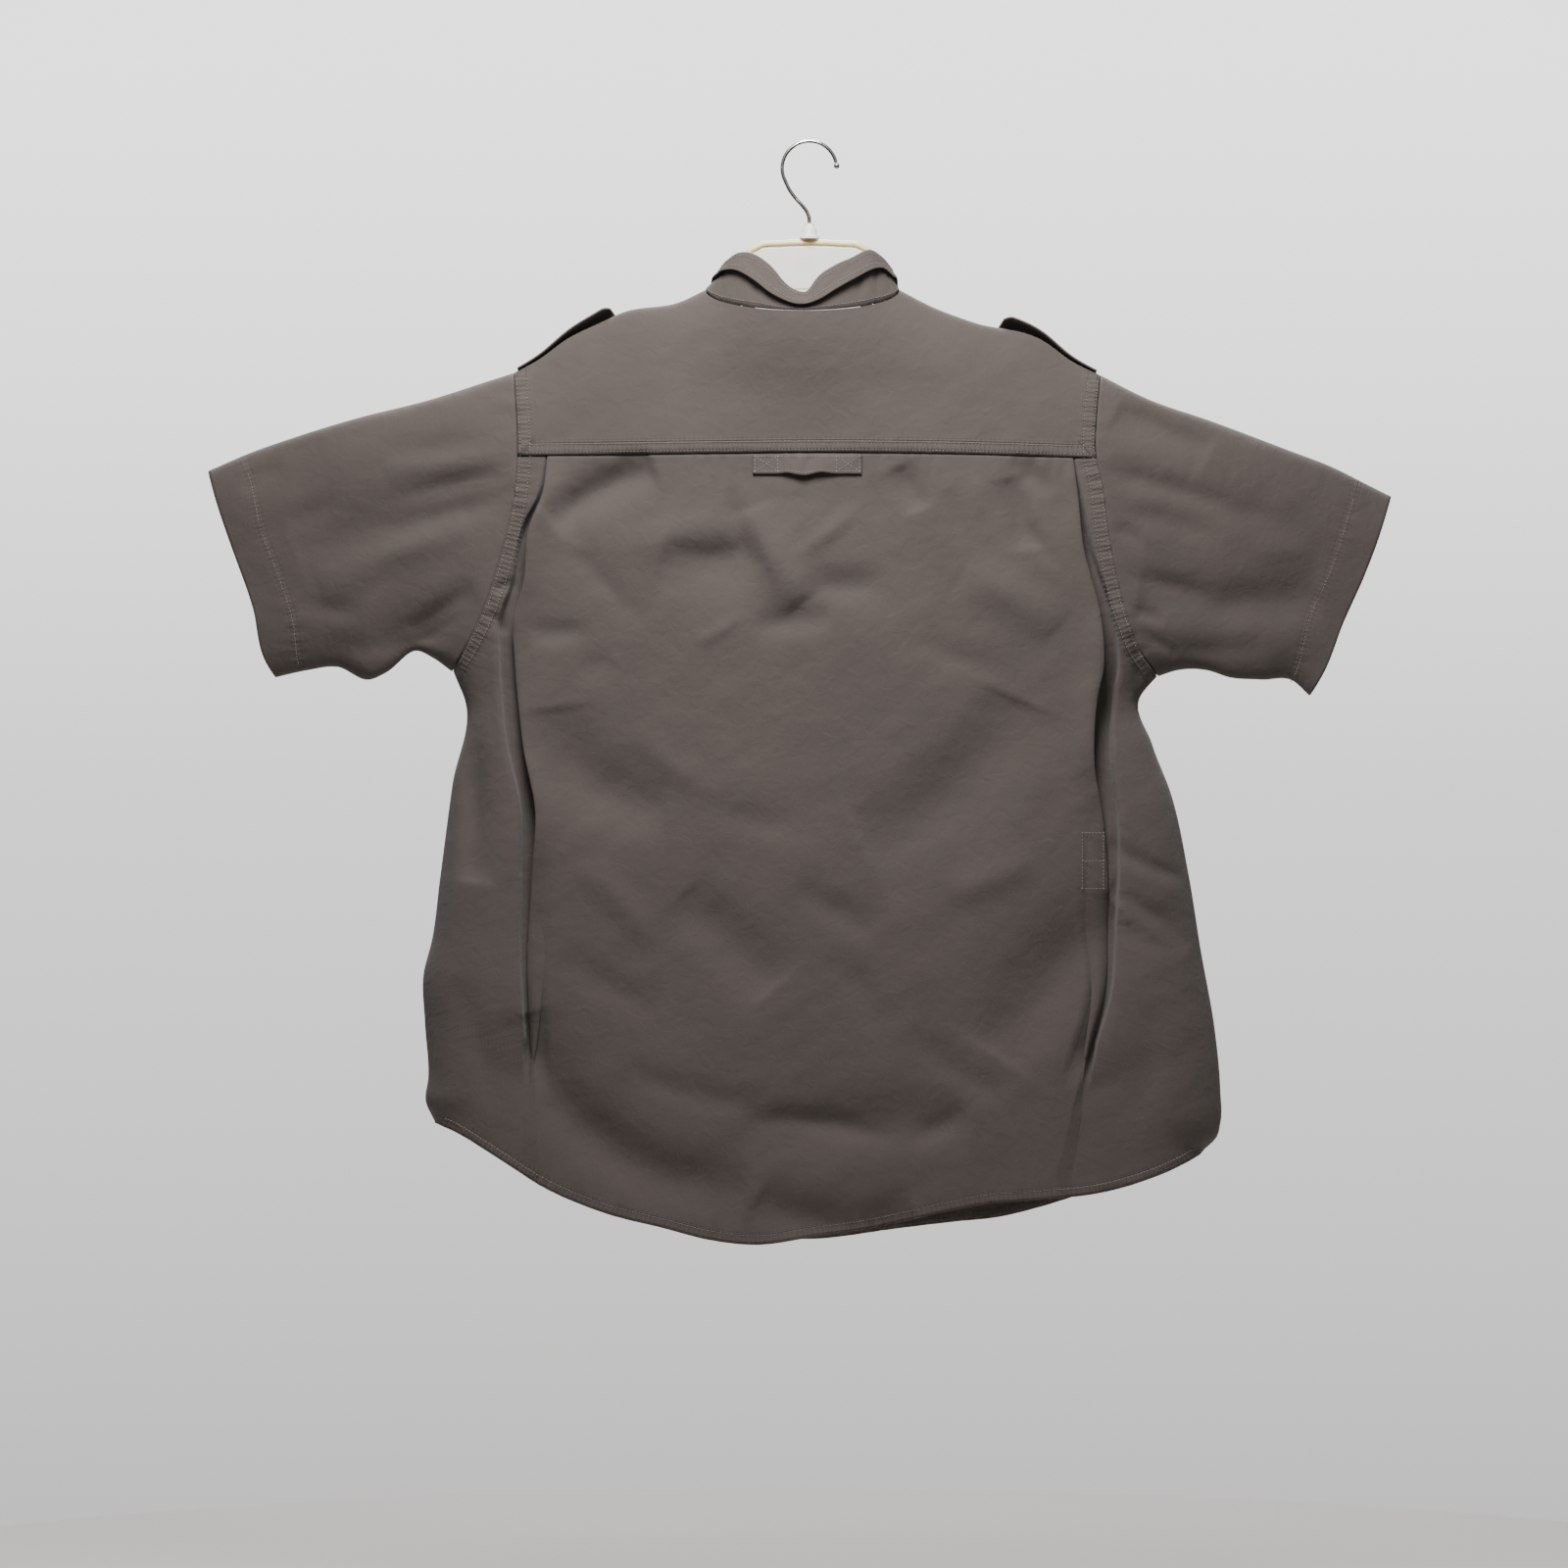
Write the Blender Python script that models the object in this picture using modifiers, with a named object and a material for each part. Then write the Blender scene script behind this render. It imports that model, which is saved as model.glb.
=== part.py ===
"""A short-sleeved button-down shirt with shoulder straps, hung on a plastic hanger.

The shirt hangs flat with its back to the viewer (-Y) and its button front away (+Y).
The origin is inside the top of the hanger's hook, where a rail carries it. Lengths in the
tables are millimetres: x to the right of the hook, drop straight down from it.
Every cloth piece is cut from one puffed-up outline: a point inside the garment's outline
stands away from the hanger's plane by a depth that grows with its distance from the edge.
"""
import math
from collections import namedtuple

import bmesh
import bpy
import numpy as np
from mathutils import Vector

MM = 0.001
NAME = "button_down_shirt"

# Cloth
WALL = 1.2
SEAM_GAP = 0.4
LAYER = 2.2
STANDOFF = 0.6
EDGE_ROUND = 60.0
FRONT_SHARE = 0.9

# Neck hole, an ellipse for the back half and a deeper one for the front half
NECK_X = -6.0
NECK_HALF = 84.0
NECK_DROP = 128.0
NECK_BACK = 20.0
NECK_FRONT = 78.0
YOKE_FORWARD = 38.0

# Where the seams meet, -1 for the left hand and 1 for the right
NECK_POINT = {-1: -90.0, 1: 78.0}
SHOULDER_END = {-1: (-256.0, 200.0), 1: (252.0, 202.0)}
UNDERARM = {-1: 458.0, 1: 462.0}

# Front closing
CENTRE_X = -4.0
PLACKET_WIDTH = 30.0
BUTTON_RADIUS = 5.8
BUTTON_THICK = 2.6
FRONT_BUTTONS = 6
FIRST_BUTTON = 285.0
BUTTON_PITCH = 98.0

# Outline tables: each names its columns, and a smooth curve runs through its rows
SHOULDER_LEFT = dict(x=(-90, -111, -163, -180, -209, -234, -256),
                     drop=(128, 138, 148, 156, 170, 188, 200))
SHOULDER_RIGHT = dict(x=(78, 105, 142, 204, 226, 252),
                      drop=(128, 142, 156, 173, 189, 202))
SLEEVE_TOP_LEFT = dict(x=(-256, -278, -328, -395, -450, -484, -521),
                       drop=(200, 207, 223, 240, 257, 269, 285))
SLEEVE_TOP_RIGHT = dict(x=(252, 292, 349, 418, 452, 486, 504),
                        drop=(202, 222, 242, 268, 281, 298, 307))
CUFF_LEFT = dict(drop=(285, 314, 349, 403, 453, 463), x=(-521, -512, -500, -481, -469, -463))
CUFF_RIGHT = dict(drop=(307, 359, 379, 417, 459, 479), x=(504, 486, 478, 461, 445, 434))
SLEEVE_UNDER_LEFT = dict(x=(-463, -436, -409, -381, -367, -340, -326, -309),
                         drop=(463, 457, 454, 465, 459, 440, 446, 458))
SLEEVE_UNDER_RIGHT = dict(x=(434, 421, 392, 364, 345, 318, 302),
                          drop=(479, 467, 465, 463, 457, 457, 462))
ARMHOLE_LEFT = dict(drop=(200, 241, 273, 335, 369, 403, 433, 458),
                    x=(-256, -253, -252, -260, -269, -280, -294, -309))
ARMHOLE_RIGHT = dict(drop=(202, 241, 271, 301, 339, 386, 420, 445, 462),
                     x=(252, 248, 247, 253, 258, 267, 277, 288, 302))
SIDE_LEFT = dict(drop=(458, 484, 556, 639, 692, 720, 762, 810, 832, 849),
                 x=(-309, -298, -309, -320, -327, -334, -333, -330, -332, -324))
SIDE_RIGHT = dict(drop=(462, 479, 522, 564, 632, 700, 768, 822, 850, 865, 875),
                  x=(302, 287, 297, 313, 328, 339, 351, 356, 356, 351, 339))
YOKE_SEAM = dict(x=(-256, -100, 0, 120, 256), drop=(273, 271, 270, 271, 275))
BACK_HEM = dict(x=(-340, -302, -274, -228, -172, -128, -85, -45, 0, 50, 115, 152, 202, 253, 302, 360),
                drop=(844, 858, 875, 904, 927, 938, 949, 953, 947, 940, 925, 918, 914, 908, 893, 866))
FRONT_HEM = dict(x=(-340, -280, -228, -172, -85, -40, 0, 77, 127, 165, 202, 240, 290, 360),
                 drop=(844, 868, 896, 919, 944, 951, 953, 944, 938, 934, 925, 913, 896, 866))

# Back action pleats: where the outer fold runs, and how far the cloth doubles back under it
PLEAT_LEFT = dict(drop=(272, 309, 331, 386, 416, 448, 484, 526, 575, 639, 717, 745, 900),
                  x=(-225, -230, -239, -246, -254, -253, -250, -245, -235, -238, -242, -241, -232))
PLEAT_RIGHT = dict(drop=(272, 305, 353, 409, 434, 456, 480, 508, 539, 582, 637, 669, 740, 790, 890),
                   x=(226, 230, 235, 249, 252, 252, 247, 244, 244, 251, 256, 256, 253, 238, 213))
PLEAT_UNDER = dict(drop=(272, 600, 640, 760, 860, 960), reach=(26, 26, 22, 6, -12, -14))

# How far the back stands off the hanger's plane where the cloth is fullest
BODY_DEPTH = dict(drop=(120, 200, 273, 460, 650, 850, 960), depth=(14, 19, 26, 34, 38, 37, 36))
SLEEVE_DEPTH = 23.0
NECK_SWELL = 17.0

# Largest folds of the back: a soft trough (or ridge, when depth is negative) along a bent line
Fold = namedtuple("Fold", "x0 drop0 x1 drop1 x2 drop2 reach depth")
BACK_FOLDS = (
    Fold(-241, 745, -205, 885, -43, 898, 24, 8),
    Fold(-43, 898, 30, 945, 92, 912, 20, 7),
    Fold(165, 470, 130, 560, 35, 600, 34, 7),
    Fold(-209, 480, -200, 560, -113, 565, 26, 6),
    Fold(256, 655, 200, 700, 148, 780, 32, 8),
    Fold(-146, 277, -190, 292, -224, 320, 15, 5),
    Fold(-126, 349, -80, 366, -42, 335, 20, 6),
    Fold(-45, 316, -20, 370, 0, 395, 18, -5),
    Fold(-101, 643, -50, 690, -22, 724, 24, 5),
    Fold(-62, 842, 30, 830, 137, 830, 24, 5),
    Fold(80, 281, 90, 300, 98, 318, 12, 4),
    Fold(176, 291, 186, 320, 189, 353, 13, 4),
    Fold(203, 395, 205, 420, 206, 440, 26, -6),
    Fold(-250, 281, -330, 290, -446, 300, 18, 6),
    Fold(-320, 338, -380, 360, -428, 352, 14, -5),
    Fold(-286, 385, -360, 400, -446, 392, 20, 5),
    Fold(275, 216, 310, 235, 352, 258, 18, 5),
    Fold(284, 378, 380, 395, 442, 378, 20, 6),
    Fold(-300, 510, -285, 560, -290, 640, 14, 9),
    Fold(262, 640, 310, 660, 335, 690, 12, 5),
)
FRONT_FOLDS = (
    Fold(-60, 300, -130, 420, -250, 440, 28, 6),
    Fold(70, 310, 150, 430, 245, 445, 28, 6),
    Fold(-180, 560, -150, 700, -190, 880, 34, 7),
    Fold(120, 520, 170, 700, 150, 890, 34, 7),
    Fold(-70, 640, -40, 780, -80, 900, 26, 5),
    Fold(-270, 320, -360, 350, -450, 340, 20, 6),
    Fold(280, 330, 360, 360, 440, 350, 20, 6),
    Fold(240, 640, 260, 760, 300, 860, 26, 6),
)

# Collar round the neck: turn is degrees from the centre back, fold_drop the fold's height,
# edge_drop the leaf's lower edge, edge_out how far that edge flares from the stand, and lean how
# far the fold stands in from the neck seam at the sides; FOLD_INSET is the same front and back
COLLAR = dict(
    turn=(-180, -150, -120, -90, -75, -59, -43, -30, -19, -11, -3,
          3, 9, 20, 31, 48, 58, 74, 90, 120, 150, 180),
    fold_drop=(167, 158, 136, 112, 109, 103, 97, 100, 111, 124, 131,
               131, 120, 109, 102.5, 94.5, 98, 106, 113, 138, 158, 167),
    edge_drop=(200, 214, 172, 118, 116, 112, 113, 121.5, 133, 139, 142.5,
               142, 139, 129.5, 121, 111, 110, 117, 119, 174, 214, 200),
    edge_out=(3, 6, 6, 2, 2.5, 6.7, 9.5, 11.6, 11, 9.8, 8.6,
              8.6, 8.6, 11.3, 11.8, 9.9, 6.9, 2.8, 2, 6, 6, 3),
    lean=(5, 5, 8, 15, 13, 9, 7, 5, 5, 5, 5,
          5, 5, 5, 5, 6, 7, 8, 9, 6, 5, 5))
FOLD_INSET = 5.0
LEAF_OVER = 2.8
STAND_SHORT = 4.2
LEAF_END = 171.0

# Back tab
TAB_LEFT, TAB_RIGHT = -49.0, 45.0
TAB_TOP, TAB_HEIGHT = 271.6, 17.0
TAB_THICK = 1.6
TAB_ARCH = 3.0

# Shoulder straps: sewn in at the armhole, pointed and buttoned towards the neck
STRAP_LENGTH = 108.0
STRAP_HALF = 21.0
STRAP_THICK = 1.8
STRAP_RISE = 8.5

# Hanger
HOOK_RADIUS = 23.6
HOOK_WIRE = 1.6
RIM_RADIUS = 3.0
WEB_THICK = 4.0
HANGER_TOP = dict(x=(0, 25, 46, 53, 57, 64, 80), drop=(86.5, 87.5, 91, 97, 110, 126, 139))
HANGER_BOTTOM = dict(x=(0, 20, 50, 80, 111, 163, 204), drop=(130, 131, 141, 154, 163, 178, 194))
ARM_END = 207.0
ARM_CLEAR = 5.4
HANGER_NECK = dict(height=13.0, foot=8.5, top=4.2, gap=0.4)
HOOK_SHANK = dict(x=(-17.0, -11.5, -6.0, -2.0, -0.3), drop=(41.0, 48.5, 54.5, 60.0, 65.0))
HOOK_END = dict(radius=2.5, along=0.58, below=2.75)


def track(table, key, value):
    """A smooth function through two columns of a table."""
    order = np.argsort(table[key])
    keys = np.array(table[key], float)[order]
    values = np.array(table[value], float)[order]
    slopes = np.gradient(values, keys)

    def at(k):
        k = np.clip(k, keys[0], keys[-1])
        i = np.clip(np.searchsorted(keys, k) - 1, 0, len(keys) - 2)
        span = keys[i + 1] - keys[i]
        t = (k - keys[i]) / span
        start = values[i] * (1 + 2 * t) + slopes[i] * span * t
        end = values[i + 1] * (3 - 2 * t) - slopes[i + 1] * span * (1 - t)
        return start * (1 - t) ** 2 + end * t ** 2
    return at


def step(x):
    """Soft step from 0 to 1."""
    x = np.clip(x, 0.0, 1.0)
    return x * x * (3 - 2 * x)


shoulder = {-1: track(SHOULDER_LEFT, "x", "drop"), 1: track(SHOULDER_RIGHT, "x", "drop")}
sleeve_top = {-1: track(SLEEVE_TOP_LEFT, "x", "drop"), 1: track(SLEEVE_TOP_RIGHT, "x", "drop")}
sleeve_under = {-1: track(SLEEVE_UNDER_LEFT, "x", "drop"), 1: track(SLEEVE_UNDER_RIGHT, "x", "drop")}
cuff = {-1: track(CUFF_LEFT, "drop", "x"), 1: track(CUFF_RIGHT, "drop", "x")}
armhole = {-1: track(ARMHOLE_LEFT, "drop", "x"), 1: track(ARMHOLE_RIGHT, "drop", "x")}
side = {-1: track(SIDE_LEFT, "drop", "x"), 1: track(SIDE_RIGHT, "drop", "x")}
pleat = {-1: track(PLEAT_LEFT, "drop", "x"), 1: track(PLEAT_RIGHT, "drop", "x")}
pleat_under = track(PLEAT_UNDER, "drop", "reach")
yoke_seam = track(YOKE_SEAM, "x", "drop")
back_hem = track(BACK_HEM, "x", "drop")
front_hem = track(FRONT_HEM, "x", "drop")
body_depth = track(BODY_DEPTH, "drop", "depth")


def outline_chains():
    """The closed edges of the flat garment as lines of points, each run on past its open end."""
    chains = []
    for hand in (-1, 1):
        top_x = np.linspace(NECK_POINT[hand], SHOULDER_END[hand][0], 40)
        far = CUFF_LEFT if hand < 0 else CUFF_RIGHT
        out_x = np.linspace(SHOULDER_END[hand][0], far["x"][0], 50)
        top = [(x, float(shoulder[hand](x))) for x in top_x]
        top += [(x, float(sleeve_top[hand](x))) for x in out_x[1:]]
        (xa, da), (xb, db) = top[-6], top[-1]
        top.append((xb + 8 * (xb - xa), db + 8 * (db - da)))
        under_x = np.linspace(far["x"][-1], side[hand](UNDERARM[hand]), 50)
        low = [(x, float(sleeve_under[hand](x))) for x in under_x]
        low.insert(0, (low[0][0] + hand * 90, low[0][1] + 20))
        end = (SIDE_LEFT if hand < 0 else SIDE_RIGHT)["drop"][-1]
        low += [(float(side[hand](d)), d) for d in np.linspace(UNDERARM[hand], end, 70)[1:]]
        low.append((low[-1][0] - hand * 8, 1050.0))
        chains += [np.array(top), np.array(low)]
    return chains


CHAINS = outline_chains()
STARTS = np.vstack([chain[:-1] for chain in CHAINS])
RUNS = np.vstack([chain[1:] for chain in CHAINS]) - STARTS


def line_distance(x, drop, starts, runs):
    """Distance of points to every stretch of a line, and how far along each stretch that is."""
    dx = np.asarray(x, float)[..., None] - starts[..., 0]
    dd = np.asarray(drop, float)[..., None] - starts[..., 1]
    along = (dx * runs[..., 0] + dd * runs[..., 1]) / (runs ** 2).sum(-1)
    along = np.clip(along, 0, 1)
    return np.hypot(dx - along * runs[..., 0], dd - along * runs[..., 1]), along


def edge_distance(x, drop):
    """Distance of points to the nearest closed edge of the flat outline."""
    return line_distance(x, drop, STARTS, RUNS)[0].min(-1)


BENDS = 10


def fold_sum(folds, x, drop):
    """Sum of the soft troughs at points of a sheet."""
    total = np.zeros(np.shape(x))
    part = np.linspace(0, 1, BENDS + 1)[:, None]
    for fold in folds:
        ends = np.array(((fold.x0, fold.drop0), (fold.x1, fold.drop1), (fold.x2, fold.drop2)))
        line = (1 - part) ** 2 * ends[0] + 2 * part * (1 - part) * ends[1] + part ** 2 * ends[2]
        away, along = line_distance(x, drop, line[:-1], line[1:] - line[:-1])
        nearest = away.argmin(-1)
        near = np.take_along_axis(away, nearest[..., None], -1)[..., 0]
        share = (nearest + np.take_along_axis(along, nearest[..., None], -1)[..., 0]) / BENDS
        taper = np.sqrt(np.clip(4 * share * (1 - share), 0, 1))
        total = total + fold.depth * taper * np.exp(-(near / fold.reach) ** 2)
    return total


def sheet_depth(x, drop, front=False):
    """How far a sheet stands off the hanger's plane."""
    x, drop = np.asarray(x, float), np.asarray(drop, float)
    edge = edge_distance(x, drop)
    sleeve = step((np.abs(x) - 230) / 110) * step((520 - drop) / 70)
    full = body_depth(drop) * (1 - sleeve) + SLEEVE_DEPTH * sleeve
    full = full + NECK_SWELL * np.exp(-((x - NECK_X) / 75) ** 2 - ((drop - 150) / 70) ** 2)
    puffed = full * np.sqrt(np.clip(1 - (1 - np.minimum(edge, EDGE_ROUND) / EDGE_ROUND) ** 2, 0, 1))
    folds = fold_sum(FRONT_FOLDS if front else BACK_FOLDS, x, drop) * step(edge / 25)
    if front:
        puffed = puffed * FRONT_SHARE
    return np.maximum(puffed - folds, 0.3 * puffed)


def spot(x, drop, front=False, out=0.0, flat=False):
    """A point of the back or front sheet in millimetres, moved outwards by out."""
    depth = 0.0 if flat else float(sheet_depth(x, drop, front))
    return (x, (depth + out) * (1 if front else -1), -drop)


def neck_spot(turn, lift=0.0, out=0.0):
    """A point on the neck seam; turn is in degrees from the centre back."""
    angle = math.radians(turn)
    front = abs(turn) > 90
    x = NECK_X + NECK_HALF * math.sin(angle)
    drop = NECK_DROP + (NECK_FRONT if front else NECK_BACK) * abs(math.cos(angle))
    at_ridge = abs(abs(turn) - 90) < 1e-6
    depth = 0.0 if at_ridge else float(sheet_depth(x, drop, front))
    away = np.array((math.sin(angle) / NECK_HALF, -math.cos(angle) / 34.0))
    away /= np.linalg.norm(away)
    return (x + out * away[0], (depth if front else -depth) + out * away[1], lift - drop)


def add_grid(bm, rows, closed=False):
    """Quads through rows of points given in millimetres."""
    made = [[bm.verts.new([c * MM for c in p]) for p in row] for row in rows]
    for upper, lower in zip(made[:-1], made[1:]):
        count = len(upper)
        for k in range(count if closed else count - 1):
            j = (k + 1) % count
            bm.faces.new((upper[k], upper[j], lower[j], lower[k]))


def linear(srgb):
    """A screen colour as Blender's linear one."""
    return [((c + 0.055) / 1.055) ** 2.4 if c > 0.04 else c / 12.92 for c in srgb]


def finish_material(name, srgb, roughness, metallic=0.0):
    material = bpy.data.materials.get(name) or bpy.data.materials.new(name)
    material.use_nodes = True
    shader = material.node_tree.nodes["Principled BSDF"]
    shader.inputs["Base Color"].default_value = (*linear(srgb), 1)
    shader.inputs["Roughness"].default_value = roughness
    shader.inputs["Metallic"].default_value = metallic
    return material


TWILL = ("brown_grey_twill", (0.43, 0.39, 0.37), 0.85)
SHELL = ("dark_shirt_button", (0.22, 0.19, 0.17), 0.4)
PLASTIC = ("white_hanger_plastic", (0.93, 0.92, 0.88), 0.4)
CREAM = ("cream_hanger_rim", (0.88, 0.80, 0.62), 0.4)
CHROME = ("plated_wire", (0.62, 0.60, 0.58), 0.25, 1.0)


def place(name, mesh, finish):
    """Put a mesh in the shirt's collection as a named object."""
    obj = bpy.data.objects.new(name, mesh)
    bpy.data.collections[NAME].objects.link(obj)
    label, srgb, *rest = finish
    mesh.materials.append(finish_material(name + "_" + label, srgb, *rest))
    return obj


def cloth(name, grids, wall=WALL, closed=False):
    """Weld grids of points into one open sheet and give it its wall."""
    bm = bmesh.new()
    for rows in grids:
        add_grid(bm, rows, closed)
    bmesh.ops.remove_doubles(bm, verts=bm.verts, dist=0.00002)
    bmesh.ops.recalc_face_normals(bm, faces=bm.faces)
    mesh = bpy.data.meshes.new(name)
    bm.to_mesh(mesh)
    bm.free()
    mesh.shade_smooth()
    obj = place(name, mesh, TWILL)
    thick = obj.modifiers.new("wall", "SOLIDIFY")
    thick.thickness = wall * MM
    thick.offset = 0
    return obj


RIDGE_STEPS = (0.0, 0.8, 3.2, 9.0, 20.0, YOKE_FORWARD)
YOKE_FALLS = (0.0, 0.01, 0.04, 0.12, 0.3, 0.52, 0.76, 1.0)
NECK_TURNS = tuple(range(-90, 91, 15))
SHARES = np.linspace(0, 1, 9)
armhole_stations = {(-1, "back"): [], (1, "back"): [], (-1, "front"): [], (1, "front"): []}


def armhole_x(hand, drop, outward):
    """The armhole seam, moved off its line by half the seam gap, and more at the underarm."""
    gap = SEAM_GAP / 2 + 0.5 * float(step((drop - UNDERARM[hand] + 30) / 30))
    return float(armhole[hand](drop)) + hand * gap * (1 if outward else -1)


def yoke_rows():
    """The back of the yoke, from the shoulder ridge and neck seam down to the yoke seam."""
    rows = []
    for fall in YOKE_FALLS:
        row = []
        for hand in (-1, 1):
            end_drop = SHOULDER_END[hand][1]
            arm_drop = end_drop + fall * (float(yoke_seam(hand * 250)) - SEAM_GAP / 2 - end_drop)
            armhole_stations[hand, "back"].append(arm_drop)
            x_arm = armhole_x(hand, arm_drop, False)
            part = []
            for share in SHARES[:-1]:
                x = x_arm + (NECK_POINT[hand] - x_arm) * share
                top = float(shoulder[hand](x))
                foot = float(yoke_seam(x)) - SEAM_GAP / 2
                part.append(spot(x, top + fall * (foot - top), flat=fall == 0))
            if hand < 0:
                row += part
                for turn in NECK_TURNS:
                    x, y, z = neck_spot(turn)
                    foot = float(yoke_seam(x)) - SEAM_GAP / 2
                    row.append((x, y, z) if fall == 0 else spot(x, -z + fall * (foot + z)))
            else:
                row += part[::-1]
        rows.append(row)
    return rows


def yoke_front_rows(hand):
    """The strip of the yoke that comes forward over one shoulder."""
    rows = []
    for fall in RIDGE_STEPS:
        arm_drop = SHOULDER_END[hand][1] + fall
        armhole_stations[hand, "front"].append(arm_drop)
        x_arm = armhole_x(hand, arm_drop, False)
        turn = math.asin(fall / NECK_FRONT)
        x_neck = NECK_X + hand * NECK_HALF * math.cos(turn)
        row = []
        for share in SHARES:
            x = x_arm + (x_neck - x_arm) * share
            drop = float(shoulder[hand](x)) + fall - (SEAM_GAP / 2 if fall == YOKE_FORWARD else 0)
            row.append(spot(x, drop, front=True, flat=fall == 0))
        rows.append(row)
    return rows


def make_yoke():
    cloth("back_yoke", [yoke_rows(), yoke_front_rows(-1), yoke_front_rows(1)])


SIDE_SHARES = (0.0, 0.02, 0.09, 0.21, 0.4, 0.66, 1.0)


def body_edge(hand, drop):
    """The body panel's outer edge: the armhole down to the underarm, then the side."""
    if drop < UNDERARM[hand]:
        return armhole_x(hand, drop, False)
    return float(side[hand](drop)) - hand * 0.6 * float(step((UNDERARM[hand] + 15 - drop) / 15))


def back_row(share):
    """One row across the back panel, with the two folded pleats in it."""
    def drop_at(x):
        top = float(yoke_seam(x)) + SEAM_GAP / 2
        return top + share * (float(back_hem(x)) - top)

    halves = {}
    for hand in (-1, 1):
        x_edge = hand * 300.0
        for _ in range(10):
            x_edge = 0.5 * (x_edge + body_edge(hand, drop_at(x_edge)))
        edge_drop = drop_at(x_edge)
        if edge_drop < UNDERARM[hand] - 4:
            armhole_stations[hand, "back"].append(edge_drop)
        fold_drop = drop_at(float(pleat[hand](edge_drop)))
        x_fold = float(pleat[hand](fold_drop))
        reach = float(pleat_under(fold_drop))
        x_deep = x_fold - hand * reach
        lap = float(step((reach + 6) / 8))
        held = max(reach, 3.0)
        points = []
        for s in SIDE_SHARES:
            x = x_edge + (x_deep + hand * held - x_edge) * s
            at_side = s == 0 and edge_drop >= UNDERARM[hand] - 1
            x, y, z = spot(x, drop_at(x), out=-2 * LAYER * float(step(s)), flat=at_side)
            points.append((x, -SEAM_GAP / 2 if at_side else y, z))
        for end in (0.5, 0.0):
            x = x_deep + hand * held * end
            points.append(spot(x, drop_at(x), out=-2 * LAYER))
        bends = ((0, -0.8, 1.75), (0, -0.8, 1.25), (0, 0, 1.0), (0.5, 0, 1.0), (1, 0, 1.0),
                 (1, 0.8, 0.75), (1, 0.8, 0.25))
        for k, (end, bend, layer) in enumerate(bends):
            even = (k + 1) / 8
            toward = end * lap + even * (1 - lap)
            x = x_deep + (x_fold - x_deep) * toward + hand * bend * lap
            level = layer * lap + (2 - 2 * even) * (1 - lap)
            points.append(spot(x, drop_at(x), out=-level * LAYER))
        for along in (0.0, 0.5, 1.0):
            x = x_fold - hand * along * max(reach, 12.0)
            points.append(spot(x, drop_at(x)))
        halves[hand] = points
    left, right = halves[-1], halves[1]
    middle = np.linspace(left[-1][0], right[-1][0], 14)[1:-1]
    return left + [spot(x, drop_at(x)) for x in middle] + right[::-1]


def underarm_share(hand, top, hem):
    """How far down a panel the row through the underarm lies."""
    return (UNDERARM[hand] - top) / (float(hem(hand * 305.0)) - top)


def make_back():
    through = [underarm_share(hand, 273.5, back_hem) for hand in (-1, 1)]
    shares = sorted([0, 0.025, 0.065, 0.12, 0.19, 0.245, 0.283] + through + list(np.linspace(0.36, 0.975, 12)) + [1])
    cloth("back_panel", [[back_row(s) for s in shares]])


EDGE_SHARES = np.array((0.0, 0.005, 0.02, 0.05, 0.1, 0.18, 0.32, 0.64, 1.0))
FRONT_TURNS = (125, 133, 142, 152, 162)


def front_row(hand, share):
    """One row of a front panel, from its armhole or side to the centre."""
    x_neck = NECK_X + hand * NECK_HALF * math.cos(math.asin(YOKE_FORWARD / NECK_FRONT))
    stations = [NECK_X + hand * NECK_HALF * math.sin(math.radians(t)) for t in FRONT_TURNS]
    stations += [CENTRE_X + hand * (PLACKET_WIDTH / 2 + 1), CENTRE_X, CENTRE_X - hand * PLACKET_WIDTH / 2]

    def top_at(x):
        across = min(abs(x - NECK_X) / NECK_HALF, 1)
        neck = NECK_DROP + NECK_FRONT * math.sqrt(1 - across ** 2)
        seam = float(shoulder[-1 if x < NECK_X else 1](x)) + YOKE_FORWARD
        return (seam if abs(x - NECK_X) > abs(x_neck - NECK_X) - 0.01 else neck) + SEAM_GAP / 2

    def drop_at(x):
        return top_at(x) + share * (float(front_hem(x)) - top_at(x))

    x_edge = hand * 300.0
    for _ in range(12):
        x_edge = 0.5 * (x_edge + body_edge(hand, drop_at(x_edge)))
    edge_drop = drop_at(x_edge)
    if edge_drop < UNDERARM[hand] - 4:
        armhole_stations[hand, "front"].append(edge_drop)
    dense = float(step((edge_drop - 260) / 160))
    xs = [x_edge + (x_neck - x_edge) * s for s in SHARES * (1 - dense) + EDGE_SHARES * dense]
    xs += stations
    row = []
    for k, x in enumerate(xs):
        under = LAYER * float(step((CENTRE_X + PLACKET_WIDTH / 2 + 9 - x) / 8)) if hand > 0 else 0.0
        at_side = k == 0 and edge_drop >= UNDERARM[hand] - 1
        x, y, z = spot(x, drop_at(x), front=True, out=-under, flat=at_side)
        row.append((x, SEAM_GAP / 2 if at_side else y, z))
    return row


def make_fronts():
    for hand, name in ((-1, "front_left"), (1, "front_right")):
        through = underarm_share(hand, SHOULDER_END[hand][1] + YOKE_FORWARD + 3, front_hem)
        shares = [0, 0.035, 0.08, 0.14, 0.2, 0.27, through] + list(np.linspace(0.4, 0.975, 10)) + [1]
        cloth(name, [[front_row(hand, s) for s in shares]])


def make_placket():
    """The folded band down the edge of the left front, made from that panel's face."""
    rows = []
    half = PLACKET_WIDTH / 2
    top = NECK_DROP + NECK_FRONT + 1.0
    for share in np.linspace(0, 1, 22):
        row = []
        for x in np.linspace(CENTRE_X - half, CENTRE_X + half, 4):
            drop = top + share * (float(front_hem(x)) - 1.0 - top)
            row.append(spot(x, drop, front=True, out=WALL + STANDOFF))
        rows.append(row)
    cloth("front_placket", [rows])


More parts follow.
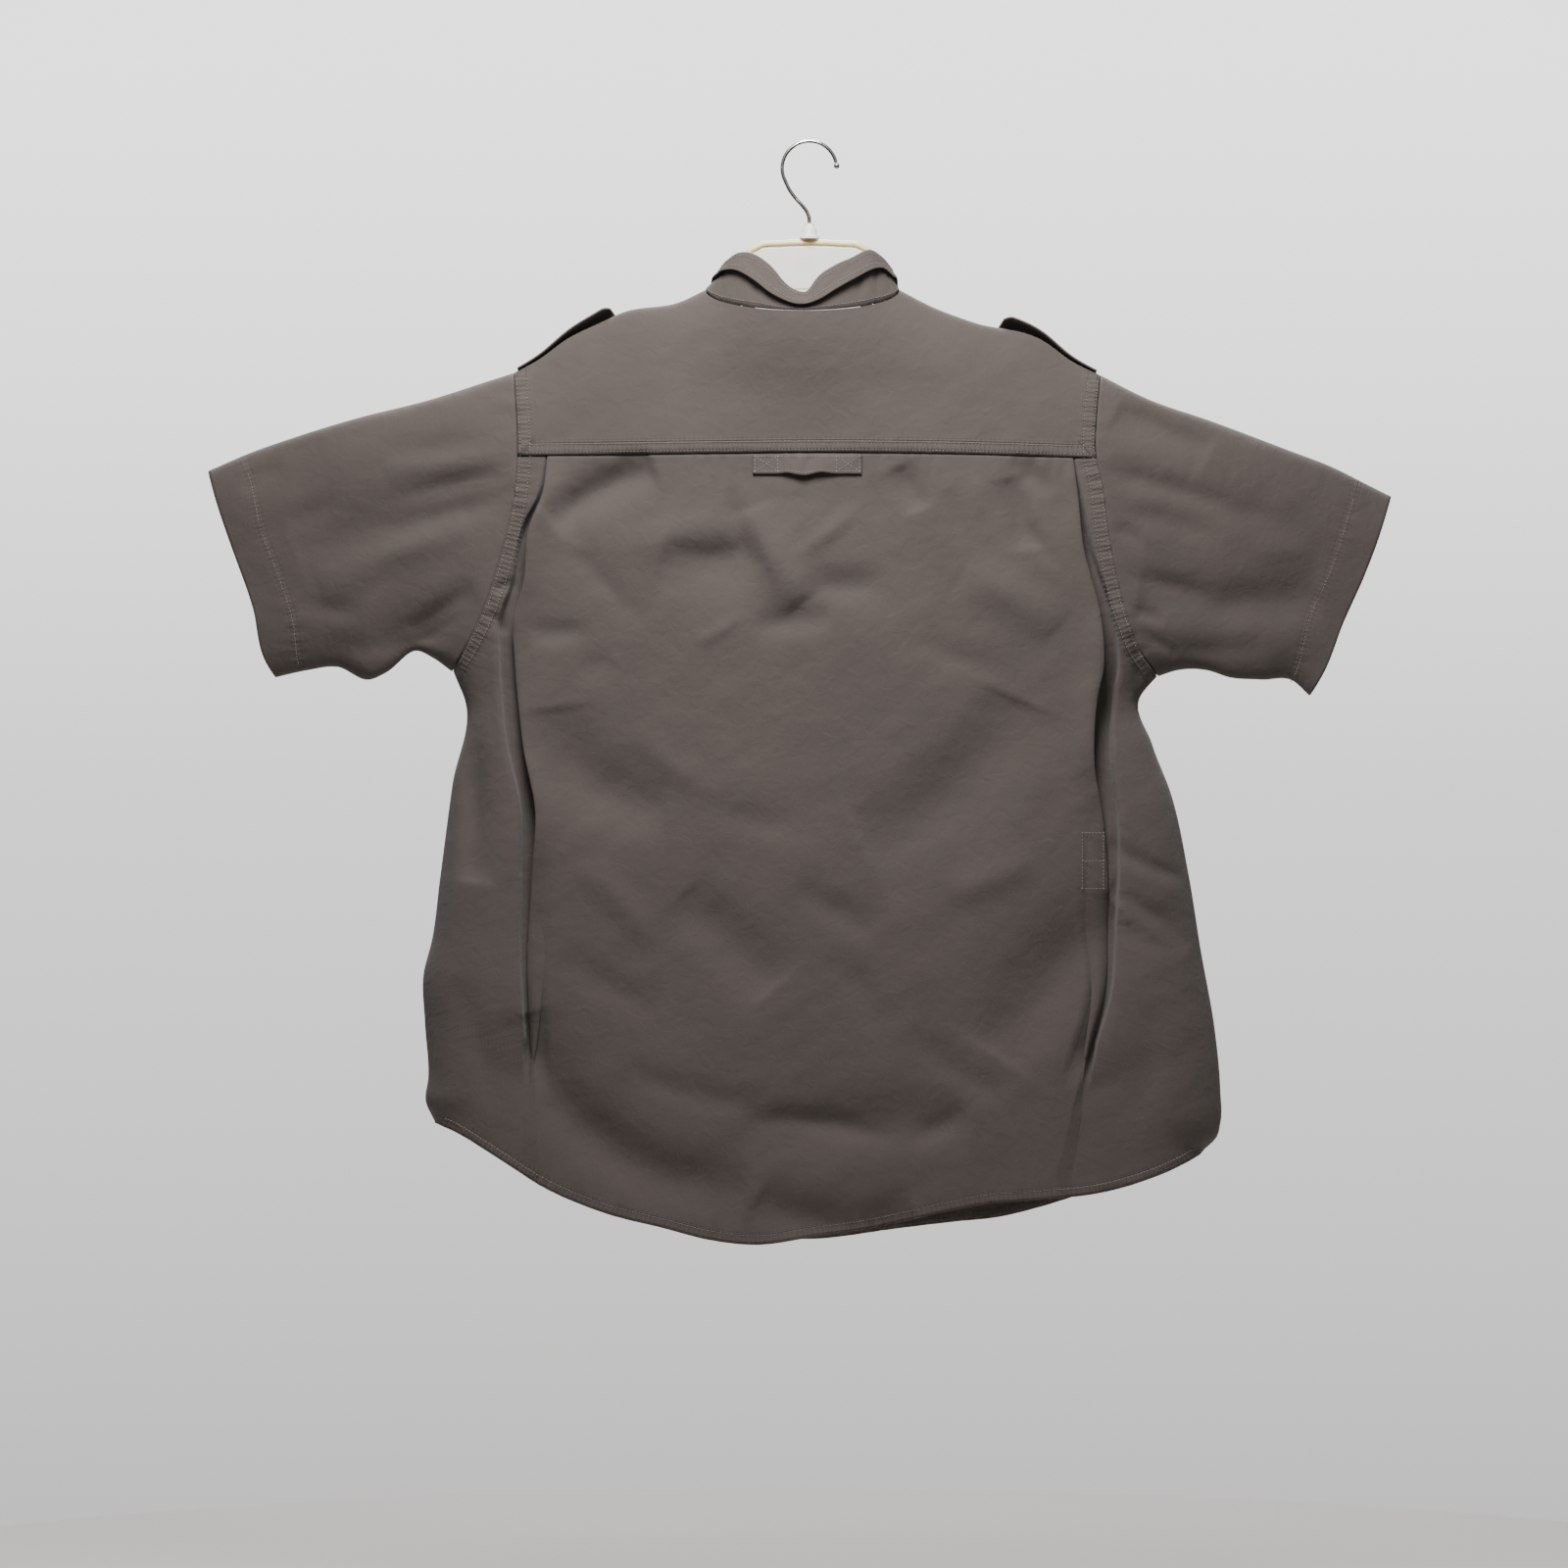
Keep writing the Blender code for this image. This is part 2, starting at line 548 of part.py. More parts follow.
def make_sleeve(hand, name):
    """A tube from the armhole to the cuff: rings between the two, back and front alike."""
    far = CUFF_LEFT if hand < 0 else CUFF_RIGHT
    d_top, d_low = far["drop"][0], far["drop"][-1]
    a_top, a_low = SHOULDER_END[hand][1], UNDERARM[hand]

    def plane(s, t):
        arm_drop = a_top + t * (a_low - a_top)
        arm = np.array((armhole_x(hand, arm_drop, True), arm_drop))
        end_drop = d_top + t * (d_low - d_top)
        end = np.array((float(cuff[hand](end_drop)), end_drop))
        corners = [np.array(c) for c in ((float(armhole[hand](a_top)), a_top),
                                         (float(cuff[hand](d_top)), d_top),
                                         (float(armhole[hand](a_low)), a_low),
                                         (float(cuff[hand](d_low)), d_low))]
        top_x = corners[0][0] + s * (corners[1][0] - corners[0][0])
        top = np.array((top_x, float(sleeve_top[hand](top_x))))
        low_x = corners[2][0] + s * (corners[3][0] - corners[2][0])
        low = np.array((low_x, float(sleeve_under[hand](low_x))))
        ruled = (1 - s) * arm + s * end + (1 - t) * top + t * low
        bilinear = ((1 - s) * ((1 - t) * corners[0] + t * corners[2])
                    + s * ((1 - t) * corners[1] + t * corners[3]))
        return ruled - bilinear

    def shares_of(face):
        near = [d for d in sorted(armhole_stations[hand, face]) if a_top + 0.1 < d < a_low - 0.1]
        kept = [d for d, after in zip(near, near[1:] + [1e9]) if after - d > 0.6]
        return [(d - a_top) / (a_low - a_top) for d in kept]

    ring = [(0.0, False)] + [(t, False) for t in shares_of("back")] + [(1.0, False)]
    ring += [(t, True) for t in shares_of("front")[::-1]]
    rows = []
    for s in np.linspace(0, 1, 10):
        rows.append([spot(*plane(s, t), front=front, flat=t in (0.0, 1.0)) for t, front in ring])
    cloth(name, [rows], closed=True)


collar_fold = track(COLLAR, "turn", "fold_drop")
collar_edge = track(COLLAR, "turn", "edge_drop")
collar_flare = track(COLLAR, "turn", "edge_out")
collar_lean = track(COLLAR, "turn", "lean")


def collar_turns(end):
    """Stations round the collar, the same as the neck edges of the yoke and the fronts."""
    forward = [90 + math.degrees(math.asin(f / NECK_FRONT)) for f in RIDGE_STEPS[1:]]
    half = [t for t in NECK_TURNS if t >= 0] + forward + list(FRONT_TURNS) + [end]
    return [-t for t in half[:0:-1]] + half


def collar_spot(turn, height, out):
    """A point of the collar: height runs from the neck seam, 0, to the fold, 1."""
    angle = math.radians(turn)
    beside = math.sin(angle) ** 4
    x, y, low = neck_spot(turn, lift=SEAM_GAP + 1.3 * beside, out=out - 0.6 * beside)
    x -= float(collar_lean(turn)) * height * math.sin(angle)
    y += FOLD_INSET * height * math.cos(angle)
    return np.array((x, y, low + (-float(collar_fold(turn)) - low) * height))


def cloth_top(x, front):
    """The highest place of the shirt's body at x: the shoulder ridge or the neck seam."""
    across = abs(x - NECK_X) / NECK_HALF
    if across < 1:
        return NECK_DROP + (NECK_FRONT if front else NECK_BACK) * math.sqrt(1 - across ** 2)
    return float(shoulder[-1 if x < 0 else 1](x))


def make_collar():
    stand = []
    for height in (0.0, 0.5, 1.0):
        row = []
        for turn in collar_turns(177.0):
            point = collar_spot(turn, height, 0.0)
            point[2] -= (STAND_SHORT + math.sin(math.radians(turn)) ** 4) * (height == 1)
            row.append(point)
        stand.append(row)
    cloth("collar_stand", [stand])
    leaf = []
    for over, up in ((0.0, -2.2), (0.5, -0.6), (1.6, 0.0), (LEAF_OVER, -1.2)):
        leaf.append([collar_spot(t, 1.0, over) + (0, 0, up) for t in collar_turns(LEAF_END)])
    for share in (0.3, 0.62, 1.0):
        row = []
        for turn in collar_turns(LEAF_END):
            top, low = (collar_spot(turn, height, 0.0)[2] for height in (1.0, 0.0))
            z = top - 1.2 + (-float(collar_edge(turn)) - top + 1.2) * share
            beside_stand = min(max((z - low) / (top - low), 0.0), 1.0)
            x, y, _ = collar_spot(turn, beside_stand, LEAF_OVER + float(collar_flare(turn)) * share ** 1.2)
            below = float(step((-z - cloth_top(x, y > 0) + 2) / 5))
            free = (float(sheet_depth(x, -z, y > 0)) + 3.0) * below
            row.append((x, math.copysign(max(abs(y), free), y), z))
        leaf.append(row)
    cloth("collar_leaf", [leaf])


def make_tab():
    """The strap sewn flat on the back under the yoke, free and a little arched in its middle."""
    rows = []
    for down in np.linspace(0, 1, 4):
        row = []
        for across in np.linspace(0, 1, 15):
            x = TAB_LEFT + (TAB_RIGHT - TAB_LEFT) * across
            loose = float(step((across - 0.2) / 0.2) * step((0.8 - across) / 0.2))
            wave = 1.4 * math.sin(across * 17) * loose * down
            out = (WALL + TAB_THICK) / 2 + STANDOFF + TAB_ARCH * loose * (0.4 + 0.6 * down)
            row.append(spot(x, TAB_TOP + TAB_HEIGHT * down + wave, out=out))
        rows.append(row)
    cloth("back_tab", [rows], wall=TAB_THICK)


def strap_lift(share, across):
    """Height of the strap over the shoulder: its back edge stands up, most near its point."""
    rise = STRAP_RISE * (min(share / 0.78, 1) ** 1.3) * float(step((1.12 - share) / 0.34))
    return rise * ((1 - across) / 2) ** 1.3


def strap_spot(hand, share, across, extra=0.0):
    """A point of a shoulder strap; across runs from its back edge, -1, to its front edge, 1."""
    width = 1.0 - 0.7 * max(share - 0.82, 0) / 0.18
    x = SHOULDER_END[hand][0] - hand * (3.0 + STRAP_LENGTH * 0.86 * share)
    fall = STRAP_HALF * (0.82 + across * width)
    ridge = float(shoulder[hand](x))
    rise = (STRAP_THICK + WALL) / 2 + STANDOFF + 0.7 + strap_lift(share, across) + extra
    if fall <= 0.05:
        return (x, fall, rise - ridge)
    depth, deeper = (float(sheet_depth(x, ridge + f, True)) for f in (fall, fall + 0.05))
    slope = (deeper - depth) / 0.05
    size = math.hypot(1, slope)
    return (x, depth + rise / size, rise * slope / size - ridge - fall)


def make_straps():
    for hand, name in ((-1, "left"), (1, "right")):
        rows = [[strap_spot(hand, share, across) for across in (-1, -0.81, -0.7, -0.4, 0.1, 0.6, 1)]
                for share in (0, 0.12, 0.25, 0.4, 0.55, 0.68, 0.78, 0.88, 1)]
        cloth("epaulette_" + name, [rows], wall=STRAP_THICK)


def make_button(name, centre, normal):
    """A turned disc with a rim and a sunk middle, lying on the cloth."""
    profile = ((0.9, 0.0), (1.0, 0.3), (0.92, 1.0), (0.62, 0.75))
    bm = bmesh.new()
    ring = 12
    rings = []
    for radius, level in profile:
        rings.append([bm.verts.new((BUTTON_RADIUS * radius * math.cos(2 * math.pi * k / ring) * MM,
                                    BUTTON_RADIUS * radius * math.sin(2 * math.pi * k / ring) * MM,
                                    BUTTON_THICK * level * MM)) for k in range(ring)])
    for low, high in zip(rings[:-1], rings[1:]):
        for k in range(ring):
            j = (k + 1) % ring
            bm.faces.new((low[k], low[j], high[j], high[k]))
    bm.faces.new(rings[0][::-1])
    bm.faces.new(rings[-1])
    mesh = bpy.data.meshes.new(name)
    bm.to_mesh(mesh)
    bm.free()
    obj = place(name, mesh, SHELL)
    obj.location = [c * MM for c in centre]
    obj.rotation_mode = "QUATERNION"
    obj.rotation_quaternion = Vector(normal).to_track_quat("Z", "Y")


def make_buttons():
    lie = 1.5 * WALL + STANDOFF + 0.6
    for k in range(FRONT_BUTTONS):
        drop = FIRST_BUTTON + BUTTON_PITCH * k
        make_button("front_button_%d" % (k + 1), spot(CENTRE_X, drop, front=True, out=lie), (0, 1, 0))
    _, y, z = collar_spot(177.0, 0.45, 1.0)
    make_button("collar_button", (CENTRE_X, y, z), (0, 1, 0.1))
    for hand, name in ((-1, "left"), (1, "right")):
        here = np.array(strap_spot(hand, 0.86, 0.25, STRAP_THICK / 2 + 0.7))
        across = np.array(strap_spot(hand, 0.86, 0.6)) - np.array(strap_spot(hand, 0.86, -0.1))
        along = np.array(strap_spot(hand, 0.92, 0.25)) - np.array(strap_spot(hand, 0.8, 0.25))
        normal = np.cross(across, along) * (1 if hand < 0 else -1)
        normal = normal if normal[1] + normal[2] > 0 else -normal
        make_button("epaulette_button_" + name, here, normal)


def tube(name, points, radius, finish, cyclic=False, resolution=2):
    """A round bar along a line of points."""
    curve = bpy.data.curves.new(name, "CURVE")
    curve.dimensions = "3D"
    spline = curve.splines.new("POLY")
    spline.points.add(len(points) - 1)
    for target, point in zip(spline.points, points):
        target.co = [c * MM for c in point] + [1]
    spline.use_cyclic_u = cyclic
    curve.bevel_depth = radius * MM
    curve.bevel_resolution = resolution
    curve.use_fill_caps = not cyclic
    return place(name, curve, finish)


hanger_top = track(HANGER_TOP, "x", "drop")
hanger_bottom = track(HANGER_BOTTOM, "x", "drop")


def rim_line():
    """The hanger's outline, clockwise from the left arm's tip over the top and back below."""
    upper = []
    for hand in (-1, 1):
        half = [(hand * x, float(hanger_top(x))) for x in (0, 13, 25, 36, 46, 51, 54, 57, 61, 68)]
        neck = abs(NECK_POINT[hand])
        for x in np.linspace(neck + 6, ARM_END, 9):
            half.append((hand * x, float(shoulder[hand](hand * x)) + ARM_CLEAR))
        upper.append(half)
    left, right = upper
    tips = []
    for hand in (1, -1):
        x, top = (right if hand > 0 else left)[-1]
        foot = float(hanger_bottom(204))
        mid, half = (top + foot) / 2, (foot - top) / 2
        tips.append([(x + hand * half * 0.8 * math.cos(a), mid - half * math.sin(a))
                     for a in np.radians((50, 20, -20, -50))])
    low = [(x, float(hanger_bottom(abs(x)))) for x in np.linspace(204, -204, 17)]
    return left[::-1][:-1] + right + tips[0] + low + tips[1][::-1]


def make_hanger():
    line = rim_line()
    tube("hanger_rim", [(x, 0, -d) for x, d in line], RIM_RADIUS, CREAM, cyclic=True)
    count = len(line)
    inset = RIM_RADIUS + 0.4
    curve = bpy.data.curves.new("hanger_web", "CURVE")
    curve.dimensions = "2D"
    spline = curve.splines.new("POLY")
    spline.points.add(count - 1)
    for k, (x, d) in enumerate(line):
        (xa, da), (xb, db) = line[k - 1], line[(k + 1) % count]
        length = math.hypot(xb - xa, db - da)
        nx, nd = -(db - da) / length, (xb - xa) / length
        spline.points[k].co = ((x + nx * inset) * MM, -(d + nd * inset) * MM, 0, 1)
    spline.use_cyclic_u = True
    curve.fill_mode = "BOTH"
    curve.extrude = WEB_THICK / 2 * MM
    web = place("hanger_web", curve, PLASTIC)
    web.rotation_euler = (math.pi / 2, 0, 0)

    height, gap = HANGER_NECK["height"], HANGER_NECK["gap"]
    neck_top = float(hanger_top(0)) - RIM_RADIUS - gap - height
    bpy.ops.mesh.primitive_cone_add(vertices=24, radius1=HANGER_NECK["foot"] * MM,
                                    radius2=HANGER_NECK["top"] * MM, depth=height * MM,
                                    location=(0, 0, -(neck_top + height / 2) * MM))
    neck = bpy.context.object
    neck.name = "hanger_neck"
    for holder in list(neck.users_collection):
        holder.objects.unlink(neck)
    bpy.data.collections[NAME].objects.link(neck)
    neck.data.materials.append(finish_material("neck_plastic", PLASTIC[1], PLASTIC[2]))

    centre = -(HOOK_RADIUS - HOOK_WIRE)
    hook = [(HOOK_RADIUS * math.cos(a), 0, centre + HOOK_RADIUS * math.sin(a))
            for a in np.radians(np.arange(12, 206, 9))]
    hook += [(x, 0, -drop) for x, drop in zip(HOOK_SHANK["x"], HOOK_SHANK["drop"])]
    hook.append((0, 0, gap - neck_top))
    tube("hanger_hook", hook, HOOK_WIRE, CHROME)
    tip = hook[0]
    place_of_end = ((tip[0] + HOOK_END["along"]) * MM, 0, (tip[2] - HOOK_END["below"]) * MM)
    bpy.ops.mesh.primitive_uv_sphere_add(segments=12, ring_count=7, radius=HOOK_END["radius"] * MM,
                                         location=place_of_end)
    ball = bpy.context.object
    ball.name = "hook_tip"
    for holder in list(ball.users_collection):
        holder.objects.unlink(ball)
    bpy.data.collections[NAME].objects.link(ball)
    ball.data.materials.append(finish_material("tip_metal", CHROME[1], CHROME[2], 1.0))


def main():
    for obj in list(bpy.data.objects):
        bpy.data.objects.remove(obj, do_unlink=True)
    bpy.context.scene.collection.children.link(bpy.data.collections.new(NAME))
    make_yoke()
    make_back()
    make_fronts()
    make_placket()
    make_sleeve(-1, "sleeve_left")
    make_sleeve(1, "sleeve_right")
    make_collar()
    make_tab()
    make_straps()
    make_buttons()
    make_hanger()


main()
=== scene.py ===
# %% [markdown]
# # A short-sleeved shirt on a hanger
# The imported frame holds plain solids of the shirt: one stiff shell for each piece of cloth.
# This script lays a finer cloth over each of them, with creases, puckers and stitches, and
# builds the hanger and the buttons again at full detail.
#
# The shirt hangs flat with its back towards the camera at -Y. Lengths in the tables are
# millimetres: x to the right of the hook and drop straight down from it.

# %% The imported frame
import math
from collections import namedtuple

import bmesh
import bpy
import numpy as np
from mathutils import Matrix, Vector


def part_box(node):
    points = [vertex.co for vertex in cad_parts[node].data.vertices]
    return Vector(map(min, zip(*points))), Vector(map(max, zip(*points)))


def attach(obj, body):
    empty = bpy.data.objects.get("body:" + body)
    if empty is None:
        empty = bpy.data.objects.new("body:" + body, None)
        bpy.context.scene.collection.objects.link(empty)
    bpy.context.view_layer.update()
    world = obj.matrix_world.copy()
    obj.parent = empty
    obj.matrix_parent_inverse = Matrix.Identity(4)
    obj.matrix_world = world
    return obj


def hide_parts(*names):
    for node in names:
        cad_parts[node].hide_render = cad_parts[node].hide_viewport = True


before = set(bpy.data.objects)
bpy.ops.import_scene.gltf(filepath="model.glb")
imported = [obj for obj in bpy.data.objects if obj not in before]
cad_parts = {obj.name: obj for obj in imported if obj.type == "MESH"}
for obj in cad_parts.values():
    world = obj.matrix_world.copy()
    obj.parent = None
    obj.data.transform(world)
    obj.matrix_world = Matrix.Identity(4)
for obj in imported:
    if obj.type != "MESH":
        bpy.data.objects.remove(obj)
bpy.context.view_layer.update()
MM = 0.001
# The wearer's left and right, which are also left and right in the picture of the back
HANDS = (-1, 1)
SIDES = ((-1, "left"), (1, "right"))


def show(name, data):
    """A new object in the scene that holds the data."""
    obj = bpy.data.objects.new(name, data)
    bpy.context.scene.collection.objects.link(obj)
    return obj


def baked(obj):
    """A plain mesh of the object, with its modifiers done."""
    return bpy.data.meshes.new_from_object(obj.evaluated_get(bpy.context.evaluated_depsgraph_get()))


# %% [markdown]
# ## Camera
# The photograph looks straight at the back of the shirt, level with its middle. A long lens
# five metres away keeps the shirt's proportions, and the frame is 1.36 m wide where the cloth
# hangs, the width that the scale of 0.85 mm a pixel gives.

# %% The camera
FRAME_WIDTH = 1.36
FRAME_CENTRE = (-0.022, -0.556)
CAMERA_AWAY = 5.0
SENSOR = 36.0

lens = bpy.data.cameras.new("camera")
lens.sensor_width = SENSOR
lens.lens = SENSOR * CAMERA_AWAY / FRAME_WIDTH
camera = show("camera", lens)
camera.location = (FRAME_CENTRE[0], -CAMERA_AWAY, FRAME_CENTRE[1])
camera.rotation_euler = (math.pi / 2, 0, 0)
bpy.context.scene.camera = camera
print("lens of %.0f mm" % lens.lens)

# %% [markdown]
# ## The outline of the shirt
# A shirt is cut from flat pieces, and on a hanger it hangs nearly flat again. So one drawing
# of its outline places every seam: each edge is a short table, and a smooth curve runs
# through its rows. The same drawing shaped the solids, so the fine cloth lies on them.

# %% Outline tables
SEAM_GAP = 0.4
LAYER = 2.2
EDGE_ROUND = 60.0
FRONT_SHARE = 0.9
NECK_X = -6.0
NECK_HALF = 84.0
NECK_DROP = 128.0
NECK_BACK = 20.0
NECK_FRONT = 78.0
YOKE_FORWARD = 38.0
CENTRE_X = -4.0
PLACKET_WIDTH = 30.0
NECK_POINT = {-1: -90.0, 1: 78.0}
SHOULDER_END = {-1: (-256.0, 200.0), 1: (252.0, 202.0)}
UNDERARM = {-1: 458.0, 1: 462.0}

SHOULDER_LEFT = dict(x=(-90, -111, -163, -180, -209, -234, -256),
                     drop=(128, 138, 148, 156, 170, 188, 200))
SHOULDER_RIGHT = dict(x=(78, 105, 142, 204, 226, 252),
                      drop=(128, 142, 156, 173, 189, 202))
SLEEVE_TOP_LEFT = dict(x=(-256, -278, -328, -395, -450, -484, -521),
                       drop=(200, 207, 223, 240, 257, 269, 285))
SLEEVE_TOP_RIGHT = dict(x=(252, 292, 349, 418, 452, 486, 504),
                        drop=(202, 222, 242, 268, 281, 298, 307))
CUFF_LEFT = dict(drop=(285, 314, 349, 403, 453, 463), x=(-521, -512, -500, -481, -469, -463))
CUFF_RIGHT = dict(drop=(307, 359, 379, 417, 459, 479), x=(504, 486, 478, 461, 445, 434))
SLEEVE_UNDER_LEFT = dict(x=(-463, -436, -409, -381, -367, -340, -326, -309),
                         drop=(463, 457, 454, 465, 459, 440, 446, 458))
SLEEVE_UNDER_RIGHT = dict(x=(434, 421, 392, 364, 345, 318, 302),
                          drop=(479, 467, 465, 463, 457, 457, 462))
ARMHOLE_LEFT = dict(drop=(200, 241, 273, 335, 369, 403, 433, 458),
                    x=(-256, -253, -252, -260, -269, -280, -294, -309))
ARMHOLE_RIGHT = dict(drop=(202, 241, 271, 301, 339, 386, 420, 445, 462),
                     x=(252, 248, 247, 253, 258, 267, 277, 288, 302))
SIDE_LEFT = dict(drop=(458, 484, 556, 639, 692, 720, 762, 810, 832, 849),
                 x=(-309, -298, -309, -320, -327, -334, -333, -330, -332, -324))
SIDE_RIGHT = dict(drop=(462, 479, 522, 564, 632, 700, 768, 822, 850, 865, 875),
                  x=(302, 287, 297, 313, 328, 339, 351, 356, 356, 351, 339))
YOKE_SEAM = dict(x=(-256, -100, 0, 120, 256), drop=(273, 271, 270, 271, 275))
BACK_HEM = dict(x=(-340, -302, -274, -228, -172, -128, -85, -45, 0, 50, 115, 152, 202, 253, 302, 360),
                drop=(844, 858, 875, 904, 927, 938, 949, 953, 947, 940, 925, 918, 914, 908, 893, 866))
FRONT_HEM = dict(x=(-340, -280, -228, -172, -85, -40, 0, 77, 127, 165, 202, 240, 290, 360),
                 drop=(844, 868, 896, 919, 944, 951, 953, 944, 938, 934, 925, 913, 896, 866))
PLEAT_LEFT = dict(drop=(272, 309, 331, 386, 416, 448, 484, 526, 575, 639, 717, 745, 900),
                  x=(-225, -230, -239, -246, -254, -253, -250, -245, -235, -238, -242, -241, -232))
PLEAT_RIGHT = dict(drop=(272, 305, 353, 409, 434, 456, 480, 508, 539, 582, 637, 669, 740, 790, 890),
                   x=(226, 230, 235, 249, 252, 252, 247, 244, 244, 251, 256, 256, 253, 238, 213))
PLEAT_UNDER = dict(drop=(272, 600, 640, 760, 860, 960), reach=(26, 26, 22, 6, -12, -14))
BODY_DEPTH = dict(drop=(120, 200, 273, 460, 650, 850, 960), depth=(14, 19, 26, 34, 38, 37, 36))
# Beyond SLEEVE_FROM, and above SLEEVE_TO, the body's depth changes into a sleeve's
SLEEVE_DEPTH = 23.0
SLEEVE_FROM = 230
SLEEVE_TO = 520
# The collar's stiff ring pushes the cloth out round the neck
NECK_SWELL = 17.0
SWELL_DROP = 150

# How far the outer fold of each back pleat has sprung open
PLEAT_OPEN = {-1: dict(drop=(272, 300, 330, 375, 400, 520, 555, 600, 640, 960),
                       gap=(0, 4, 7, 6, 3, 3, 8, 8, 1, 0)),
              1: dict(drop=(272, 330, 400, 440, 480, 530, 560, 960),
                      gap=(0, 3, 4, 8, 9, 7, 1, 0))}
# How far outside that fold the cloth of the side piece dives under it
PLEAT_GROOVE = dict(drop=(272, 300, 330, 375, 420, 600, 640, 700, 900),
                    width=(0, 2, 5, 9, 12, 12, 9, 6, 4))
# The end of each sleeve, and the stitch line of its hem
CUFFS = {-1: CUFF_LEFT, 1: CUFF_RIGHT}
CUFF_STITCH = {-1: dict(drop=(262, 292, 338, 375, 412, 453, 470),
                        x=(-496, -484, -473, -459, -447, -442, -438)),
               1: dict(drop=(280, 302, 336, 372, 413, 459, 480),
                       x=(482, 473, 462, 450, 432, 421, 412))}


def track(table, key, value):
    """A smooth function through two columns of a table."""
    order = np.argsort(table[key])
    keys = np.array(table[key], float)[order]
    values = np.array(table[value], float)[order]
    slopes = np.gradient(values, keys)

    def at(k):
        k = np.clip(k, keys[0], keys[-1])
        i = np.clip(np.searchsorted(keys, k) - 1, 0, len(keys) - 2)
        span = keys[i + 1] - keys[i]
        t = (k - keys[i]) / span
        start = values[i] * (1 + 2 * t) + slopes[i] * span * t
        end = values[i + 1] * (3 - 2 * t) - slopes[i + 1] * span * (1 - t)
        return start * (1 - t) ** 2 + end * t ** 2
    return at


def step(x):
    """Soft step from 0 to 1."""
    x = np.clip(x, 0.0, 1.0)
    return x * x * (3 - 2 * x)


shoulder = {-1: track(SHOULDER_LEFT, "x", "drop"), 1: track(SHOULDER_RIGHT, "x", "drop")}
sleeve_top = {-1: track(SLEEVE_TOP_LEFT, "x", "drop"), 1: track(SLEEVE_TOP_RIGHT, "x", "drop")}
sleeve_under = {-1: track(SLEEVE_UNDER_LEFT, "x", "drop"), 1: track(SLEEVE_UNDER_RIGHT, "x", "drop")}
cuff = {-1: track(CUFF_LEFT, "drop", "x"), 1: track(CUFF_RIGHT, "drop", "x")}
armhole = {-1: track(ARMHOLE_LEFT, "drop", "x"), 1: track(ARMHOLE_RIGHT, "drop", "x")}
side = {-1: track(SIDE_LEFT, "drop", "x"), 1: track(SIDE_RIGHT, "drop", "x")}
pleat = {-1: track(PLEAT_LEFT, "drop", "x"), 1: track(PLEAT_RIGHT, "drop", "x")}
pleat_open = {hand: track(PLEAT_OPEN[hand], "drop", "gap") for hand in HANDS}
cuff_stitch = {hand: track(CUFF_STITCH[hand], "drop", "x") for hand in HANDS}
pleat_under = track(PLEAT_UNDER, "drop", "reach")
pleat_groove = track(PLEAT_GROOVE, "drop", "width")
yoke_seam = track(YOKE_SEAM, "x", "drop")
back_hem = track(BACK_HEM, "x", "drop")
front_hem = track(FRONT_HEM, "x", "drop")
body_depth = track(BODY_DEPTH, "drop", "depth")


def armhole_x(hand, drop, outward):
    """The armhole seam, moved off its line by half the seam gap, and more at the underarm."""
    gap = SEAM_GAP / 2 + 0.5 * step((drop - UNDERARM[hand] + 30) / 30)
    return armhole[hand](drop) + hand * gap * (1 if outward else -1)


EDGE_GUESS = 300.0


def body_edge(hand, drop):
    """The body panel's outer edge: the armhole down to the underarm, then the side."""
    below = side[hand](drop) - hand * 0.6 * step((UNDERARM[hand] + 15 - drop) / 15)
    return np.where(drop < UNDERARM[hand], armhole_x(hand, drop, False), below)


def edge_place(hand, drop_at, rounds):
    """Where a row of cloth meets its panel's outer edge, found by halving towards it."""
    x = hand * EDGE_GUESS
    for _ in range(rounds):
        x = 0.5 * (x + float(body_edge(hand, float(drop_at(x)))))
    return x


# %% [markdown]
# ## From a flat drawing to a hanging shirt
# Front and back part where the cloth isn't sewn shut, so each sheet stands off the hanger's
# plane by a quarter ellipse of its distance to the nearest closed edge. Folds are soft
# troughs pressed into that form. Each fold is one row of a table: a bent line from its first
# to its last point, how far to each side it reaches, and its depth (a ridge when negative).

# %% Where the sheets lie
Fold = namedtuple("Fold", "x0 drop0 x1 drop1 x2 drop2 reach depth")


def folds(*rows):
    """A table of folds; the columns of its rows are those of Fold."""
    return [Fold(*row) for row in rows]


BACK_FOLDS = folds(
    (-241, 745, -205, 885, -43, 898, 24, 8), (-43, 898, 30, 945, 92, 912, 20, 7),
    (165, 470, 130, 560, 35, 600, 34, 7), (-209, 480, -200, 560, -113, 565, 26, 6),
    (256, 655, 200, 700, 148, 780, 32, 8), (-138, 276, -186, 288, -228, 322, 15, 8),
    (-130, 345, -85, 360, -40, 340, 26, 5), (-45, 316, -20, 370, 0, 395, 18, -5),
    (-101, 643, -50, 690, -22, 724, 24, 5), (-62, 842, 30, 830, 137, 830, 24, 5),
    (80, 281, 90, 300, 98, 318, 12, 4), (176, 291, 186, 320, 189, 353, 13, 4),
    (140, 366, 186, 384, 218, 414, 18, -4), (-258, 288, -330, 303, -446, 345, 22, 3.5),
    (-300, 322, -360, 345, -428, 376, 16, -3), (-290, 385, -350, 418, -420, 442, 18, 3.5),
    (275, 216, 310, 235, 352, 258, 18, 5), (284, 378, 380, 395, 442, 378, 20, 6),
    (-300, 510, -285, 560, -290, 640, 14, 9), (262, 640, 310, 660, 335, 690, 12, 5))
